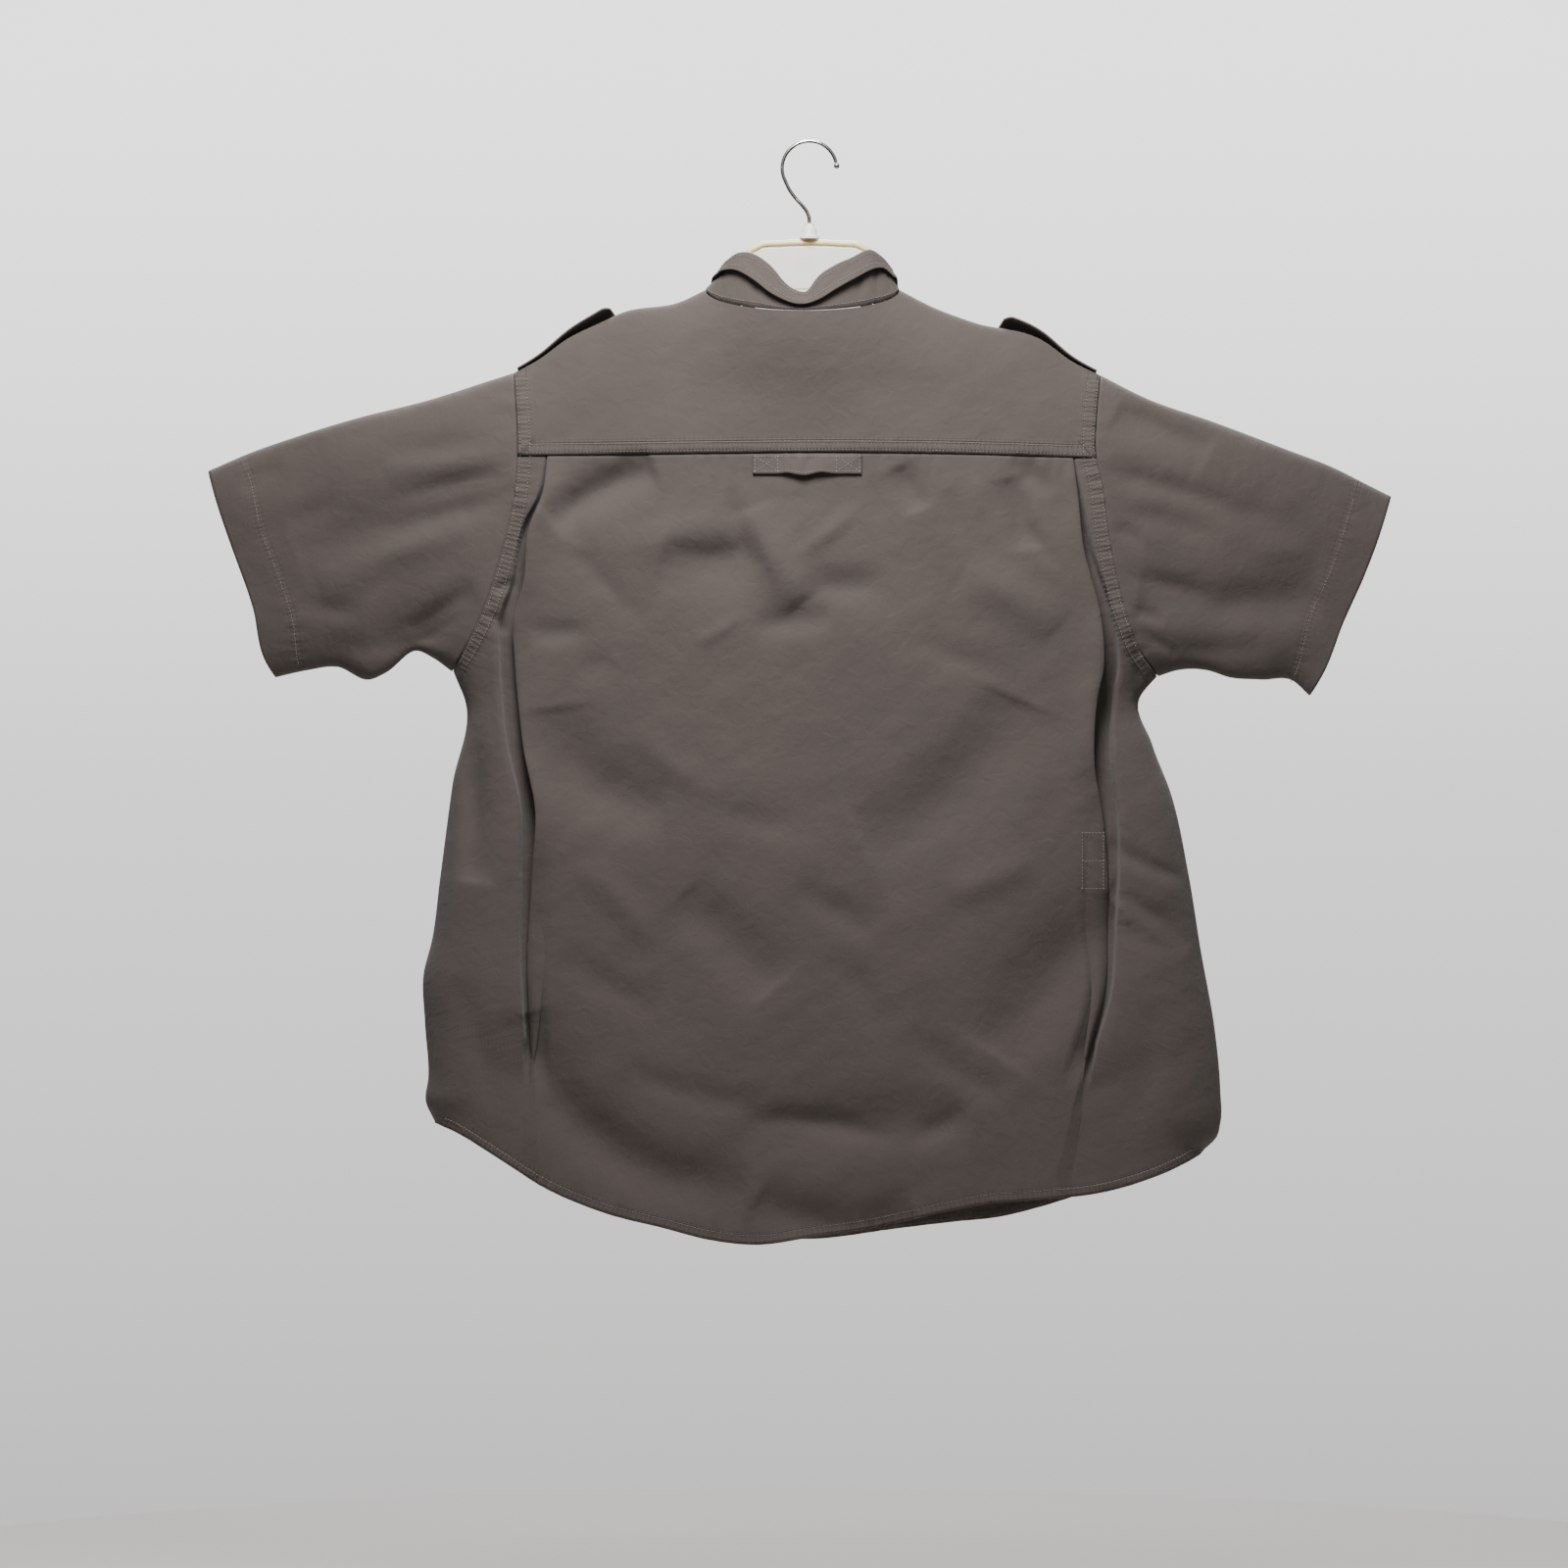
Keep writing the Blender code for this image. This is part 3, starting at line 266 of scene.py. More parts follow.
FRONT_FOLDS = folds(
    (-60, 300, -130, 420, -250, 440, 28, 6), (70, 310, 150, 430, 245, 445, 28, 6),
    (-180, 560, -150, 700, -190, 880, 34, 7), (120, 520, 170, 700, 150, 890, 34, 7),
    (-70, 640, -40, 780, -80, 900, 26, 5), (-270, 320, -360, 350, -450, 340, 20, 6),
    (280, 330, 360, 360, 440, 350, 20, 6), (240, 640, 260, 760, 300, 860, 26, 6))
# Smaller creases, laid over the large folds
BACK_CREASES = folds(
    (-195, 338, -120, 330, -48, 322, 18, -2.6), (-66, 300, -62, 335, -44, 372, 9, 2.0),
    (182, 284, 200, 330, 216, 386, 10, -2.2), (-206, 449, -188, 450, -170, 440, 11, 1.6),
    (-254, 378, -264, 381, -274, 388, 5, 2.6), (-275, 405, -268, 414, -261, 426, 5, 2.2),
    (-257, 281, -310, 290, -372, 308, 7, 2.6), (-262, 268, -310, 272, -370, 280, 9, -1.8),
    (-259, 305, -310, 316, -372, 336, 8, 2.2), (-300, 405, -330, 424, -366, 450, 7, 2.2),
    (262, 316, 300, 318, 360, 336, 9, 2.0), (262, 334, 275, 334, 292, 346, 5, 2.4),
    (-126, 346, -85, 357, -44, 346, 10, 1.3), (-6, 366, 31, 384, 70, 370, 14, 3.6),
    (-52, 410, -20, 408, 20, 402, 12, 3.0), (-245, 418, -218, 422, -190, 414, 10, 2.8),
    (-101, 433, -80, 424, -57, 405, 6, -1.6), (-19, 360, 12, 342, 41, 313, 6, -1.6),
    (192, 327, 200, 350, 216, 370, 8, 2.4), (179, 272, 192, 285, 213, 303, 9, 2.4),
    (-11, 638, 30, 655, 63, 683, 14, 2.6), (-62, 842, 6, 830, 80, 859, 10, 2.4),
    (80, 859, 110, 850, 137, 830, 10, 2.2), (258, 598, 290, 628, 335, 636, 7, 2.6),
    (266, 640, 305, 652, 330, 690, 7, -2.4), (262, 660, 290, 690, 322, 702, 8, 2.4),
    (-150, 500, -120, 540, -70, 560, 12, -1.8), (-200, 620, -150, 650, -130, 700, 12, -2.0),
    (-215, 690, -170, 730, -120, 745, 14, 2.0), (20, 700, 60, 730, 70, 790, 14, 2.0),
    (110, 640, 150, 640, 190, 610, 12, -2.0), (90, 760, 120, 800, 180, 820, 12, 2.0),
    (-160, 790, -90, 830, -30, 820, 12, 2.0), (-90, 560, -40, 590, 10, 585, 13, 1.6),
    (100, 420, 130, 450, 180, 452, 12, 1.8), (-210, 350, -170, 372, -140, 420, 10, 1.6),
    (120, 300, 128, 320, 130, 350, 8, 1.5), (140, 290, 150, 310, 148, 330, 7, -1.4),
    (52, 290, 62, 310, 60, 330, 8, 1.2), (-200, 300, -206, 330, -200, 352, 7, 1.4),
    (-300, 720, -280, 780, -270, 840, 10, 2.4), (290, 740, 300, 790, 280, 850, 12, 2.4),
    (-456, 275, -480, 286, -495, 299, 9, 2.4), (-319, 338, -350, 350, -377, 356, 7, -1.6),
    (-286, 381, -318, 398, -350, 424, 8, 2.6), (-445, 393, -410, 400, -377, 403, 9, 2.0),
    (-280, 250, -320, 262, -370, 262, 10, 1.6), (-300, 425, -340, 424, -380, 436, 9, 1.6),
    (-400, 300, -430, 320, -455, 325, 9, 1.6), (250, 280, 300, 288, 372, 312, 9, 2.8),
    (268, 372, 305, 374, 350, 390, 7, 2.2), (278, 405, 292, 404, 308, 412, 5, 2.4),
    (288, 424, 300, 428, 322, 442, 6, 2.0), (262, 392, 274, 425, 284, 460, 5, -2.6),
    (276, 425, 284, 446, 290, 480, 4, 2.6), (330, 300, 370, 318, 430, 318, 12, 1.8),
    (310, 430, 350, 436, 400, 428, 10, 1.8), (380, 350, 410, 345, 440, 350, 9, -1.6))
FRONT_CREASES = folds(
    (-210, 300, -180, 330, -170, 380, 10, 2.0), (180, 300, 160, 340, 170, 380, 10, 2.0),
    (-100, 470, -60, 500, -30, 560, 12, 1.8), (40, 460, 70, 520, 60, 590, 12, 1.8),
    (-250, 620, -210, 660, -200, 720, 12, 2.2), (200, 560, 230, 600, 240, 660, 12, 2.2),
    (60, 700, 40, 780, 70, 850, 12, -2.0), (-130, 760, -120, 820, -150, 880, 12, -2.0),
    (-300, 350, -340, 372, -400, 372, 8, 1.8), (300, 380, 350, 400, 410, 392, 8, 1.8),
    (-280, 280, -330, 300, -380, 292, 10, -1.8), (290, 270, 340, 290, 390, 296, 10, -1.8),
    (-280, 760, -260, 800, -270, 850, 10, 2.4), (250, 700, 280, 760, 290, 830, 10, -2.0),
    (-60, 260, -90, 290, -140, 300, 9, 1.5), (60, 262, 90, 290, 130, 296, 9, 1.5))
# How many straight bits each bent line is measured along
BENDS = 10
# The rows give the shaded side of each fold; its middle lies this share of the reach lower
FOLD_LOWER = 0.7


def outline_chains():
    """The closed edges of the flat garment as lines of points, each run on past its open end."""
    chains = []
    for hand in HANDS:
        top_x = np.linspace(NECK_POINT[hand], SHOULDER_END[hand][0], 40)
        far = CUFFS[hand]
        out_x = np.linspace(SHOULDER_END[hand][0], far["x"][0], 50)
        top = [(x, float(shoulder[hand](x))) for x in top_x]
        top += [(x, float(sleeve_top[hand](x))) for x in out_x[1:]]
        (xa, da), (xb, db) = top[-6], top[-1]
        top.append((xb + 8 * (xb - xa), db + 8 * (db - da)))
        under_x = np.linspace(far["x"][-1], side[hand](UNDERARM[hand]), 50)
        low = [(x, float(sleeve_under[hand](x))) for x in under_x]
        low.insert(0, (low[0][0] + hand * 90, low[0][1] + 20))
        end = (SIDE_LEFT if hand < 0 else SIDE_RIGHT)["drop"][-1]
        low += [(float(side[hand](d)), d) for d in np.linspace(UNDERARM[hand], end, 70)[1:]]
        low.append((low[-1][0] - hand * 8, 1050.0))
        chains += [np.array(top), np.array(low)]
    return chains


CHAINS = outline_chains()
STARTS = np.vstack([chain[:-1] for chain in CHAINS])
RUNS = np.vstack([chain[1:] for chain in CHAINS]) - STARTS


def line_distance(x, drop, starts, runs):
    """Distance of points to every stretch of a line, and how far along each stretch that is."""
    dx = np.asarray(x, float)[..., None] - starts[..., 0]
    dd = np.asarray(drop, float)[..., None] - starts[..., 1]
    along = np.clip((dx * runs[..., 0] + dd * runs[..., 1]) / (runs ** 2).sum(-1), 0, 1)
    return np.hypot(dx - along * runs[..., 0], dd - along * runs[..., 1]), along


def nearest_on(x, drop, line):
    """Distance of points to a line, and the place along it from 0 to its length."""
    runs = np.diff(line, axis=0)
    away, along = line_distance(x, drop, line[:-1], runs)
    k = away.argmin(-1)
    lengths = np.hypot(runs[:, 0], runs[:, 1])
    before = np.concatenate(([0.0], np.cumsum(lengths)[:-1]))
    near = np.take_along_axis(away, k[..., None], -1)[..., 0]
    share = np.take_along_axis(along, k[..., None], -1)[..., 0]
    return near, before[k] + share * lengths[k]


def fold_sum(folds, x, drop, fading=0.5):
    """Sum of the soft troughs at points of a sheet, each fading out towards its ends."""
    total = np.zeros(np.shape(x))
    part = np.linspace(0, 1, BENDS + 1)[:, None]
    for fold in folds:
        ends = np.array(((fold.x0, fold.drop0), (fold.x1, fold.drop1), (fold.x2, fold.drop2)))
        run = (ends[2] - ends[0]) / np.linalg.norm(ends[2] - ends[0])
        ends = ends + FOLD_LOWER * fold.reach * run[0] * np.array((-run[1], run[0]))
        line = (1 - part) ** 2 * ends[0] + 2 * part * (1 - part) * ends[1] + part ** 2 * ends[2]
        away, along = line_distance(x, drop, line[:-1], line[1:] - line[:-1])
        nearest = away.argmin(-1)
        near = np.take_along_axis(away, nearest[..., None], -1)[..., 0]
        share = (nearest + np.take_along_axis(along, nearest[..., None], -1)[..., 0]) / BENDS
        taper = np.clip(4 * share * (1 - share), 0, 1) ** fading
        total = total + fold.depth * taper * np.exp(-(near / fold.reach) ** 2)
    return total


def soft_noise(seed, size):
    """Smooth random values from -1 to 1 over a sheet, in bumps about size mm across."""
    grid = np.random.default_rng(seed).uniform(-1, 1, (97, 97))

    def at(x, drop):
        u, v = np.asarray(x, float) / size + 40, np.asarray(drop, float) / size + 3
        i, j = np.floor(u).astype(int), np.floor(v).astype(int)
        fu, fv = step(u - i), step(v - j)
        i, j, k, m = i % 97, j % 97, (i + 1) % 97, (j + 1) % 97
        top = grid[i, j] * (1 - fu) + grid[k, j] * fu
        low = grid[i, m] * (1 - fu) + grid[k, m] * fu
        return top * (1 - fv) + low * fv
    return at


# %% [markdown]
# ## Seams draw the cloth up
# A sewn seam is a little shorter than the cloth it holds, so short ripples run away from it:
# strong ones at a felled armhole seam and along a narrow hem, weak ones under the yoke. Each
# ripple line is a wave along the seam whose pitch and height wander.

# %% Ripples, bands and small waves
Ripple = namedtuple("Ripple", "line pitch reach height")


def drawn(xs, drops):
    return np.stack((np.asarray(xs, float), np.asarray(drops, float)), -1)


ARM_DROPS = {hand: np.linspace(SHOULDER_END[hand][1], UNDERARM[hand] - 2, 40) for hand in HANDS}
armhole_line = {hand: drawn(armhole[hand](ARM_DROPS[hand]), ARM_DROPS[hand]) for hand in HANDS}
STITCH_DROPS = {-1: np.linspace(274, 462, 24), 1: np.linspace(292, 470, 24)}
cuff_stitch_line = {hand: drawn(cuff_stitch[hand](STITCH_DROPS[hand]), STITCH_DROPS[hand])
                    for hand in HANDS}
YOKE_X = np.linspace(-250, 246, 60)
yoke_line = drawn(YOKE_X, yoke_seam(YOKE_X))
HEM_X = np.linspace(-322, 338, 90)
back_hem_line = drawn(HEM_X, back_hem(HEM_X))
front_hem_line = drawn(HEM_X, front_hem(HEM_X))

RIPPLES = [Ripple(armhole_line[hand], 13, 13, 0.9) for hand in HANDS]
RIPPLES += [Ripple(cuff_stitch_line[hand], 12, 11, 0.7) for hand in HANDS]
BACK_RIPPLES = RIPPLES + [Ripple(back_hem_line, 15, 12, 1.2), Ripple(yoke_line, 17, 12, 0.5)]
FRONT_RIPPLES = RIPPLES + [Ripple(front_hem_line, 15, 12, 1.2)]
wander, swell_size = soft_noise(3, 40.0), soft_noise(4, 22.0)
broad, middle_size, small_size = soft_noise(5, 62.0), soft_noise(6, 24.0), soft_noise(8, 11.0)
BROAD_WAVE, MIDDLE_WAVE, SMALL_WAVE = 1.3, 0.5, 0.16
BAND_HEIGHT = 0.7
BAND_WIDTH = 12.5
GATHER_PITCH = 17.0
GATHER_HEIGHT = 0.7


def ripples(x, drop, table):
    """Sum of the short waves that run away from seams."""
    total = np.zeros(np.shape(x))
    for k, ripple in enumerate(table):
        away, s = nearest_on(x, drop, ripple.line)
        turns = s / ripple.pitch + 0.9 * wander(s, 60.0 * k)
        wave = np.sin(2 * math.pi * turns + away / ripple.reach)
        size = 0.55 + 0.6 * swell_size(s, 45.0 * k)
        total = total + ripple.height * size * wave * np.exp(-(away / ripple.reach) ** 2)
    return total


# How strongly the cloth is gathered along the yoke seam
GATHERS = dict(x=(-250, -120, -106, -62, -50, 62, 74, 110, 122, 172, 186, 230, 244),
               size=(0.3, 0.2, 1.0, 1.0, 0.1, 0.1, 1.0, 1.0, 0.2, 0.2, 1.0, 1.0, 0.4))
gather_size = track(GATHERS, "x", "size")


def gathers(x, drop):
    """Short upright folds where the yoke seam holds the back in."""
    below = drop - yoke_seam(x)
    wave = np.sin(2 * math.pi * (x / GATHER_PITCH + 1.5 * wander(x, 7.0)) + below / 30)
    return GATHER_HEIGHT * gather_size(x) * wave * np.exp(-(below / 19) ** 2) * step(below / 8)


def felled_band(x, drop):
    """The flat-felled seam allowance, a raised band on the body's side of each armhole."""
    total = np.zeros(np.shape(x))
    for hand in HANDS:
        away, _ = nearest_on(x, drop, armhole_line[hand])
        inside = step(0.5 + hand * (armhole[hand](drop) - x) / 1.2)
        band = BAND_HEIGHT * inside * step((BAND_WIDTH - away) / 1.5)
        total = total + band * (np.asarray(drop) < UNDERARM[hand])
    return total


FOLD_GAIN = 1.35
CREASE_GAIN = 1.35


def sheet_depth(x, drop, front=False):
    """How far a sheet stands off the hanger's plane, with all its creases."""
    x, drop = np.asarray(x, float), np.asarray(drop, float)
    edge = line_distance(x, drop, STARTS, RUNS)[0].min(-1)
    sleeve = step((np.abs(x) - SLEEVE_FROM) / 110) * step((SLEEVE_TO - drop) / 70)
    full = body_depth(drop) * (1 - sleeve) + SLEEVE_DEPTH * sleeve
    full = full + NECK_SWELL * np.exp(-((x - NECK_X) / 75) ** 2 - ((drop - SWELL_DROP) / 70) ** 2)
    puffed = full * np.sqrt(np.clip(1 - (1 - np.minimum(edge, EDGE_ROUND) / EDGE_ROUND) ** 2, 0, 1))
    folds = FOLD_GAIN * fold_sum(FRONT_FOLDS if front else BACK_FOLDS, x, drop) * step(edge / 25)
    if front:
        puffed = puffed * FRONT_SHARE
    large = np.maximum(puffed - folds, 0.3 * puffed)
    fade = step(edge / 14)
    fine = -CREASE_GAIN * fold_sum(FRONT_CREASES if front else BACK_CREASES, x, drop, 1.0)
    fine = fine + ripples(x, drop, FRONT_RIPPLES if front else BACK_RIPPLES) + felled_band(x, drop)
    if front:
        x = x + 300
    else:
        fine = fine + gathers(x, drop)
    fine = fine + BROAD_WAVE * broad(x, drop) + MIDDLE_WAVE * middle_size(x + drop * 0.6, drop)
    fine = fine + SMALL_WAVE * small_size(x, drop)
    return np.maximum(large + fine * fade, np.minimum(0.3 * puffed + 0.4, large))


def on_sheet(x, drop, front=False, out=0.0, depth=None):
    """Points of the back or front sheet in millimetres, moved outwards by out."""
    x, drop = np.broadcast_arrays(np.asarray(x, float), np.asarray(drop, float))
    depth = sheet_depth(x, drop, front) if depth is None else depth
    return np.stack((x, (depth + out) * (1 if front else -1), -drop), -1)


print("depth in the middle of the back: %.1f mm" % sheet_depth(0.0, 500.0))

# %% [markdown]
# ## Cloth as a shell
# Each piece is a grid of points, as close as the threads of a coarse net, with its flat
# drawing kept as a UV map in metres. Solidify gives it a wall. The UV map lets the weave run
# straight along the cut, as it does on real cloth.

# %% A helper that makes a shell of cloth
CLOTH_WALL = 1.1
made_cloth = {}


def grid_faces(rows, columns, start, closed):
    index = start + np.arange(rows * columns).reshape(rows, columns)
    if closed:
        index = np.hstack((index, index[:, :1]))
    quads = np.stack((index[:-1, :-1], index[:-1, 1:], index[1:, 1:], index[1:, :-1]), -1)
    return quads.reshape(-1, 4)


Seam = namedtuple("Seam", "line first scale front")
NO_SEAM = 60.0


def seam_map(points, seams):
    """For each point, the place along its nearest seam and its distance from it, in millimetres."""
    x, drop, behind = points[:, 0] / MM, -points[:, 2] / MM, points[:, 1] <= 0
    field = np.tile((0.0, NO_SEAM, 0.0), (len(x), 1))
    for seam in seams:
        away, along = nearest_on(x, drop, seam.line)
        away = seam.first + away * seam.scale
        if seam.front is not None:
            away = np.where(behind == seam.front, NO_SEAM, away)
        nearer = away < field[:, 1]
        field[nearer, 0], field[nearer, 1] = along[nearer], away[nearer]
    return field


def cloth(name, grids, finish, wall=CLOTH_WALL, closed=False, seams=()):
    """Weld grids of points, in millimetres, into one sheet with a wall and a flat map."""
    points = np.vstack([np.asarray(g[0]).reshape(-1, 3) for g in grids]) * MM
    flat = np.vstack([np.asarray(g[1]).reshape(-1, 2) for g in grids]) * MM
    faces, start = [], 0
    for place, _ in grids:
        rows, columns = place.shape[:2]
        faces.append(grid_faces(rows, columns, start, closed))
        start += rows * columns
    mesh = bpy.data.meshes.new(name)
    mesh.from_pydata(points.tolist(), [], np.vstack(faces).tolist())
    layer = mesh.uv_layers.new(name="cut")
    corners = np.empty(len(mesh.loops), int)
    mesh.loops.foreach_get("vertex_index", corners)
    layer.data.foreach_set("uv", flat[corners].ravel())
    bm = bmesh.new()
    bm.from_mesh(mesh)
    bmesh.ops.remove_doubles(bm, verts=bm.verts, dist=0.00002)
    bmesh.ops.recalc_face_normals(bm, faces=bm.faces)
    bm.to_mesh(mesh)
    area = sum(face.calc_area() for face in bm.faces)
    bm.free()
    spots = np.empty(len(mesh.vertices) * 3)
    mesh.vertices.foreach_get("co", spots)
    field = mesh.attributes.new("seam", "FLOAT_VECTOR", "POINT")
    field.data.foreach_set("vector", seam_map(spots.reshape(-1, 3), seams).ravel())
    mesh.shade_smooth()
    mesh.materials.append(finish)
    obj = show(name, mesh)
    thick = obj.modifiers.new("wall", "SOLIDIFY")
    thick.thickness = wall * MM
    thick.offset = 0
    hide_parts(name.replace("_cloth", ""))
    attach(obj, "root")
    made_cloth[name] = obj
    print("%s: %d faces, %.4f square metres" % (name, len(mesh.polygons), area))


# %% [markdown]
# ## Finishes
# Shader maths reads best as plain expressions, so one small class wraps a socket and adds a
# Math node for each operator. Noise and bump have a method each, and any other node comes
# from the node method.

# %% Sockets that do maths
OBJECT_PLACE, CUT_PLACE = 3, 2


class Socket:
    """A shader socket that can be used in an expression."""

    def __init__(self, tree, end=None):
        self.tree, self.end = tree, end

    def node(self, kind, settings=None, inputs=None, out=0):
        node = self.tree.nodes.new(kind)
        for key, value in (settings or {}).items():
            if key == "stops":
                while len(node.color_ramp.elements) < len(value):
                    node.color_ramp.elements.new(0.5)
                for stop, (place, colour) in zip(node.color_ramp.elements, value):
                    stop.position, stop.color = place, (*colour, 1)
            else:
                setattr(node, key, value)
        for key, value in (inputs or {}).items():
            if isinstance(value, Socket):
                self.tree.links.new(value.end, node.inputs[key])
            else:
                node.inputs[key].default_value = value
        return Socket(self.tree, node.outputs[out])

    def noise(self, place, scale, detail=2.0, **more):
        """Noise of a given scale at a place."""
        return self.node("ShaderNodeTexNoise", {}, {"Vector": place, "Scale": scale,
                                                    "Detail": detail, **more})

    def bump(self, height, strength, distance, **more):
        """A normal bent by a height; distance is in metres."""
        return self.node("ShaderNodeBump", {}, {"Height": height, "Strength": strength,
                                                "Distance": distance, **more})

    def maths(self, operation, a, b):
        return self.node("ShaderNodeMath", {"operation": operation}, {0: a, 1: b})

    def __add__(self, other):
        return self.maths("ADD", self, other)

    def __mul__(self, other):
        return self.maths("MULTIPLY", self, other)

    def __sub__(self, other):
        return self.maths("SUBTRACT", self, other)

    def __rsub__(self, other):
        return self.maths("SUBTRACT", other, self)

    __radd__ = __add__
    __rmul__ = __mul__


def linear(srgb):
    """A screen colour as Blender's linear one."""
    return [((c + 0.055) / 1.055) ** 2.4 if c > 0.04 else c / 12.92 for c in srgb]


def start_finish(name, roughness, metallic=0.0, **constants):
    """A new material, its graph, and its Principled shader with the constant values set."""
    material = bpy.data.materials.new(name)
    material.use_nodes = True
    shader = material.node_tree.nodes["Principled BSDF"]
    shader.inputs["Roughness"].default_value = roughness
    shader.inputs["Metallic"].default_value = metallic
    for key, value in constants.items():
        shader.inputs[key.replace("_", " ")].default_value = value
    return material, Socket(material.node_tree), shader


def wire(graph, shader, **ends):
    for key, value in ends.items():
        graph.tree.links.new(value.end, shader.inputs[key.replace("_", " ")])


def mix(graph, factor, a, b):
    """One colour over another; a and b are linear colours or sockets."""
    a, b = ((*c, 1) if not isinstance(c, Socket) else c for c in (a, b))
    return graph.node("ShaderNodeMix", {"data_type": "RGBA"}, {0: factor, 6: a, 7: b}, out=2)


# %% [markdown]
# ## Washed twill
# The cloth is a warm grey-brown cotton twill that has been washed many times. Its diagonal
# ribs are about a millimetre apart, single threads are thicker here and there, and the
# colour has faded unevenly. Along the seams the crests of the puckers are a little paler, partly
# wear and partly painted highlight, and painted shade darkens the grooves between the
# stitch rows and the troughs of the puckers.

# %% The twill
TWILL_PALE = (0.347, 0.306, 0.288)
TWILL_DEEP = (0.282, 0.249, 0.234)
RIB_SCALE = 380.0
# Height across a double-stitched seam, from its edge inwards, as shares of SEAM_REACH
SEAM_REACH = 16.0
SEAM_HEIGHT = dict(place=(0.0, 0.03, 0.10, 0.14, 0.18, 0.62, 0.66, 0.70, 0.80, 0.85),
                   height=(0.5, 1.0, 1.0, 0.25, 1.0, 1.0, 0.25, 1.0, 0.85, 1.0))
# How strong the puckers are across the same seam
SEAM_PUCKER = dict(place=(0.0, 0.2, 0.6, 0.95), height=(0.6, 1.0, 1.0, 0.0))
PUCKER_SCALE = 0.075


def grey_ramp(graph, table, value):
    """A value read off a small table by a colour ramp."""
    stops = [(place, (height,) * 3) for place, height in zip(table["place"], table["height"])]
    return graph.node("ShaderNodeValToRGB", {"stops": stops}, {0: value})


def held(graph, value):
    """A value kept between 0 and 1."""
    return graph.node("ShaderNodeClamp", {}, {0: value})


def twill(name, pale=TWILL_PALE, deep=TWILL_DEEP):
    material, graph, shader = start_finish(name, 0.88, Sheen_Weight=0.12, Sheen_Roughness=0.6)
    cut = graph.node("ShaderNodeTexCoord", out=CUT_PLACE)
    ribs = graph.node("ShaderNodeTexWave", {"bands_direction": "DIAGONAL"},
                      {"Vector": cut, "Scale": RIB_SCALE, "Distortion": 1.2, "Detail": 1.0,
                       "Detail Scale": 0.6}, out=1)
    slub = graph.noise(cut, 620.0, 3.0, Roughness=0.7)
    fade = graph.noise(cut, 11.0, 4.0, Roughness=0.6)
    crumple = graph.noise(cut, 95.0, 3.0, Distortion=0.6)
    base = mix(graph, (fade - 0.5) * 1.3 + 0.5, linear(deep), linear(pale))
    grain = mix(graph, slub * 0.55 + ribs * 0.25, linear([c * 0.9 for c in deep]), linear(pale))
    colour = mix(graph, 0.4, base, grain)
    seam = graph.node("ShaderNodeAttribute", {"attribute_name": "seam"}, out=1)
    away = graph.node("ShaderNodeSeparateXYZ", {}, {0: seam}, out=1)
    across = grey_ramp(graph, SEAM_HEIGHT, away * (1 / SEAM_REACH))
    band = grey_ramp(graph, SEAM_PUCKER, away * (1 / SEAM_REACH))
    pucker = graph.node("ShaderNodeTexWave", {"bands_direction": "X"},
                        {"Vector": seam, "Scale": PUCKER_SCALE, "Distortion": 4.5, "Detail": 2.0,
                         "Detail Scale": 0.12}, out=1)
    pucker = (pucker - 0.5) * band
    # The crests of the seam puckers are painted paler: partly wear, partly painted highlight.
    worn = mix(graph, 0.62, colour, linear([min(1.0, c * 1.5) for c in pale]))
    # Painted shade: the grooves between a seam's stitch rows and the troughs of its puckers are painted
    # darker.
    painted_seam_shade = mix(graph, 0.6, colour, linear([c * 0.6 for c in deep]))
    colour = mix(graph, held(graph, pucker * 0.2), colour, worn)
    colour = mix(graph, held(graph, (1 - across) * 0.7 - pucker * 0.16), colour, painted_seam_shade)
    weave = graph.bump(ribs * 0.5 + slub, 0.35, 0.0004)
    soft = graph.bump(crumple, 0.35, 0.0022, Normal=weave)
    sewn = graph.bump(across + pucker * 0.35, 0.8, 0.0011, Normal=soft)
    wire(graph, shader, Base_Color=colour, Normal=sewn, Roughness=slub * 0.12 + 0.82)
    return material


body_twill = twill("washed_twill")
band_twill = twill("washed_twill_bands", pale=(0.36, 0.319, 0.300), deep=(0.297, 0.263, 0.246))
print("twill finishes made")

# %% [markdown]
# ## Yoke
# The yoke is a doubled piece across the shoulders. Here it starts at the shoulder line and
# the neck seam, falls to the yoke seam on the back, and comes a few centimetres forward over
# each shoulder. Its lower edge is turned under and lies on the back, so it stands out there.

# %% The yoke
YOKE_LAP = 1.0


def bent(count):
    """Shares from 0 to 1 that crowd towards 0, where a sheet turns over an edge."""
    return np.linspace(0, 1, count) ** 2


def yoke_back():
    shares = np.linspace(0, 1, 52)[:-1]
    turns = np.radians(np.linspace(-90, 90, 61))
    places, flats = [], []
    for fall in bent(46):
        xs, tops = [], []
        for hand in HANDS:
            arm_top = SHOULDER_END[hand][1]
            arm_drop = arm_top + fall * (yoke_seam(hand * 250) - SEAM_GAP / 2 - arm_top)
            x_arm = armhole_x(hand, arm_drop, False)
            x = x_arm + (NECK_POINT[hand] - x_arm) * shares
            xs.append(x if hand < 0 else x[::-1])
            tops.append(shoulder[hand](x) if hand < 0 else shoulder[hand](x)[::-1])
        x = np.concatenate((xs[0], NECK_X + NECK_HALF * np.sin(turns), xs[1]))
        top = np.concatenate((tops[0], NECK_DROP + NECK_BACK * np.cos(turns), tops[1]))
        drop = top + fall * (yoke_seam(x) - SEAM_GAP / 2 - top)
        lap = YOKE_LAP * step((drop - yoke_seam(x) + 12) / 4)
        depth = sheet_depth(x, drop) + lap
        if fall == 0:
            depth[(np.arange(len(x)) <= 51) | (np.arange(len(x)) >= len(x) - 52)] = 0.0
        places.append(on_sheet(x, drop, depth=depth))
        flats.append(np.stack((x, -drop), -1))
    return np.array(places), np.array(flats)


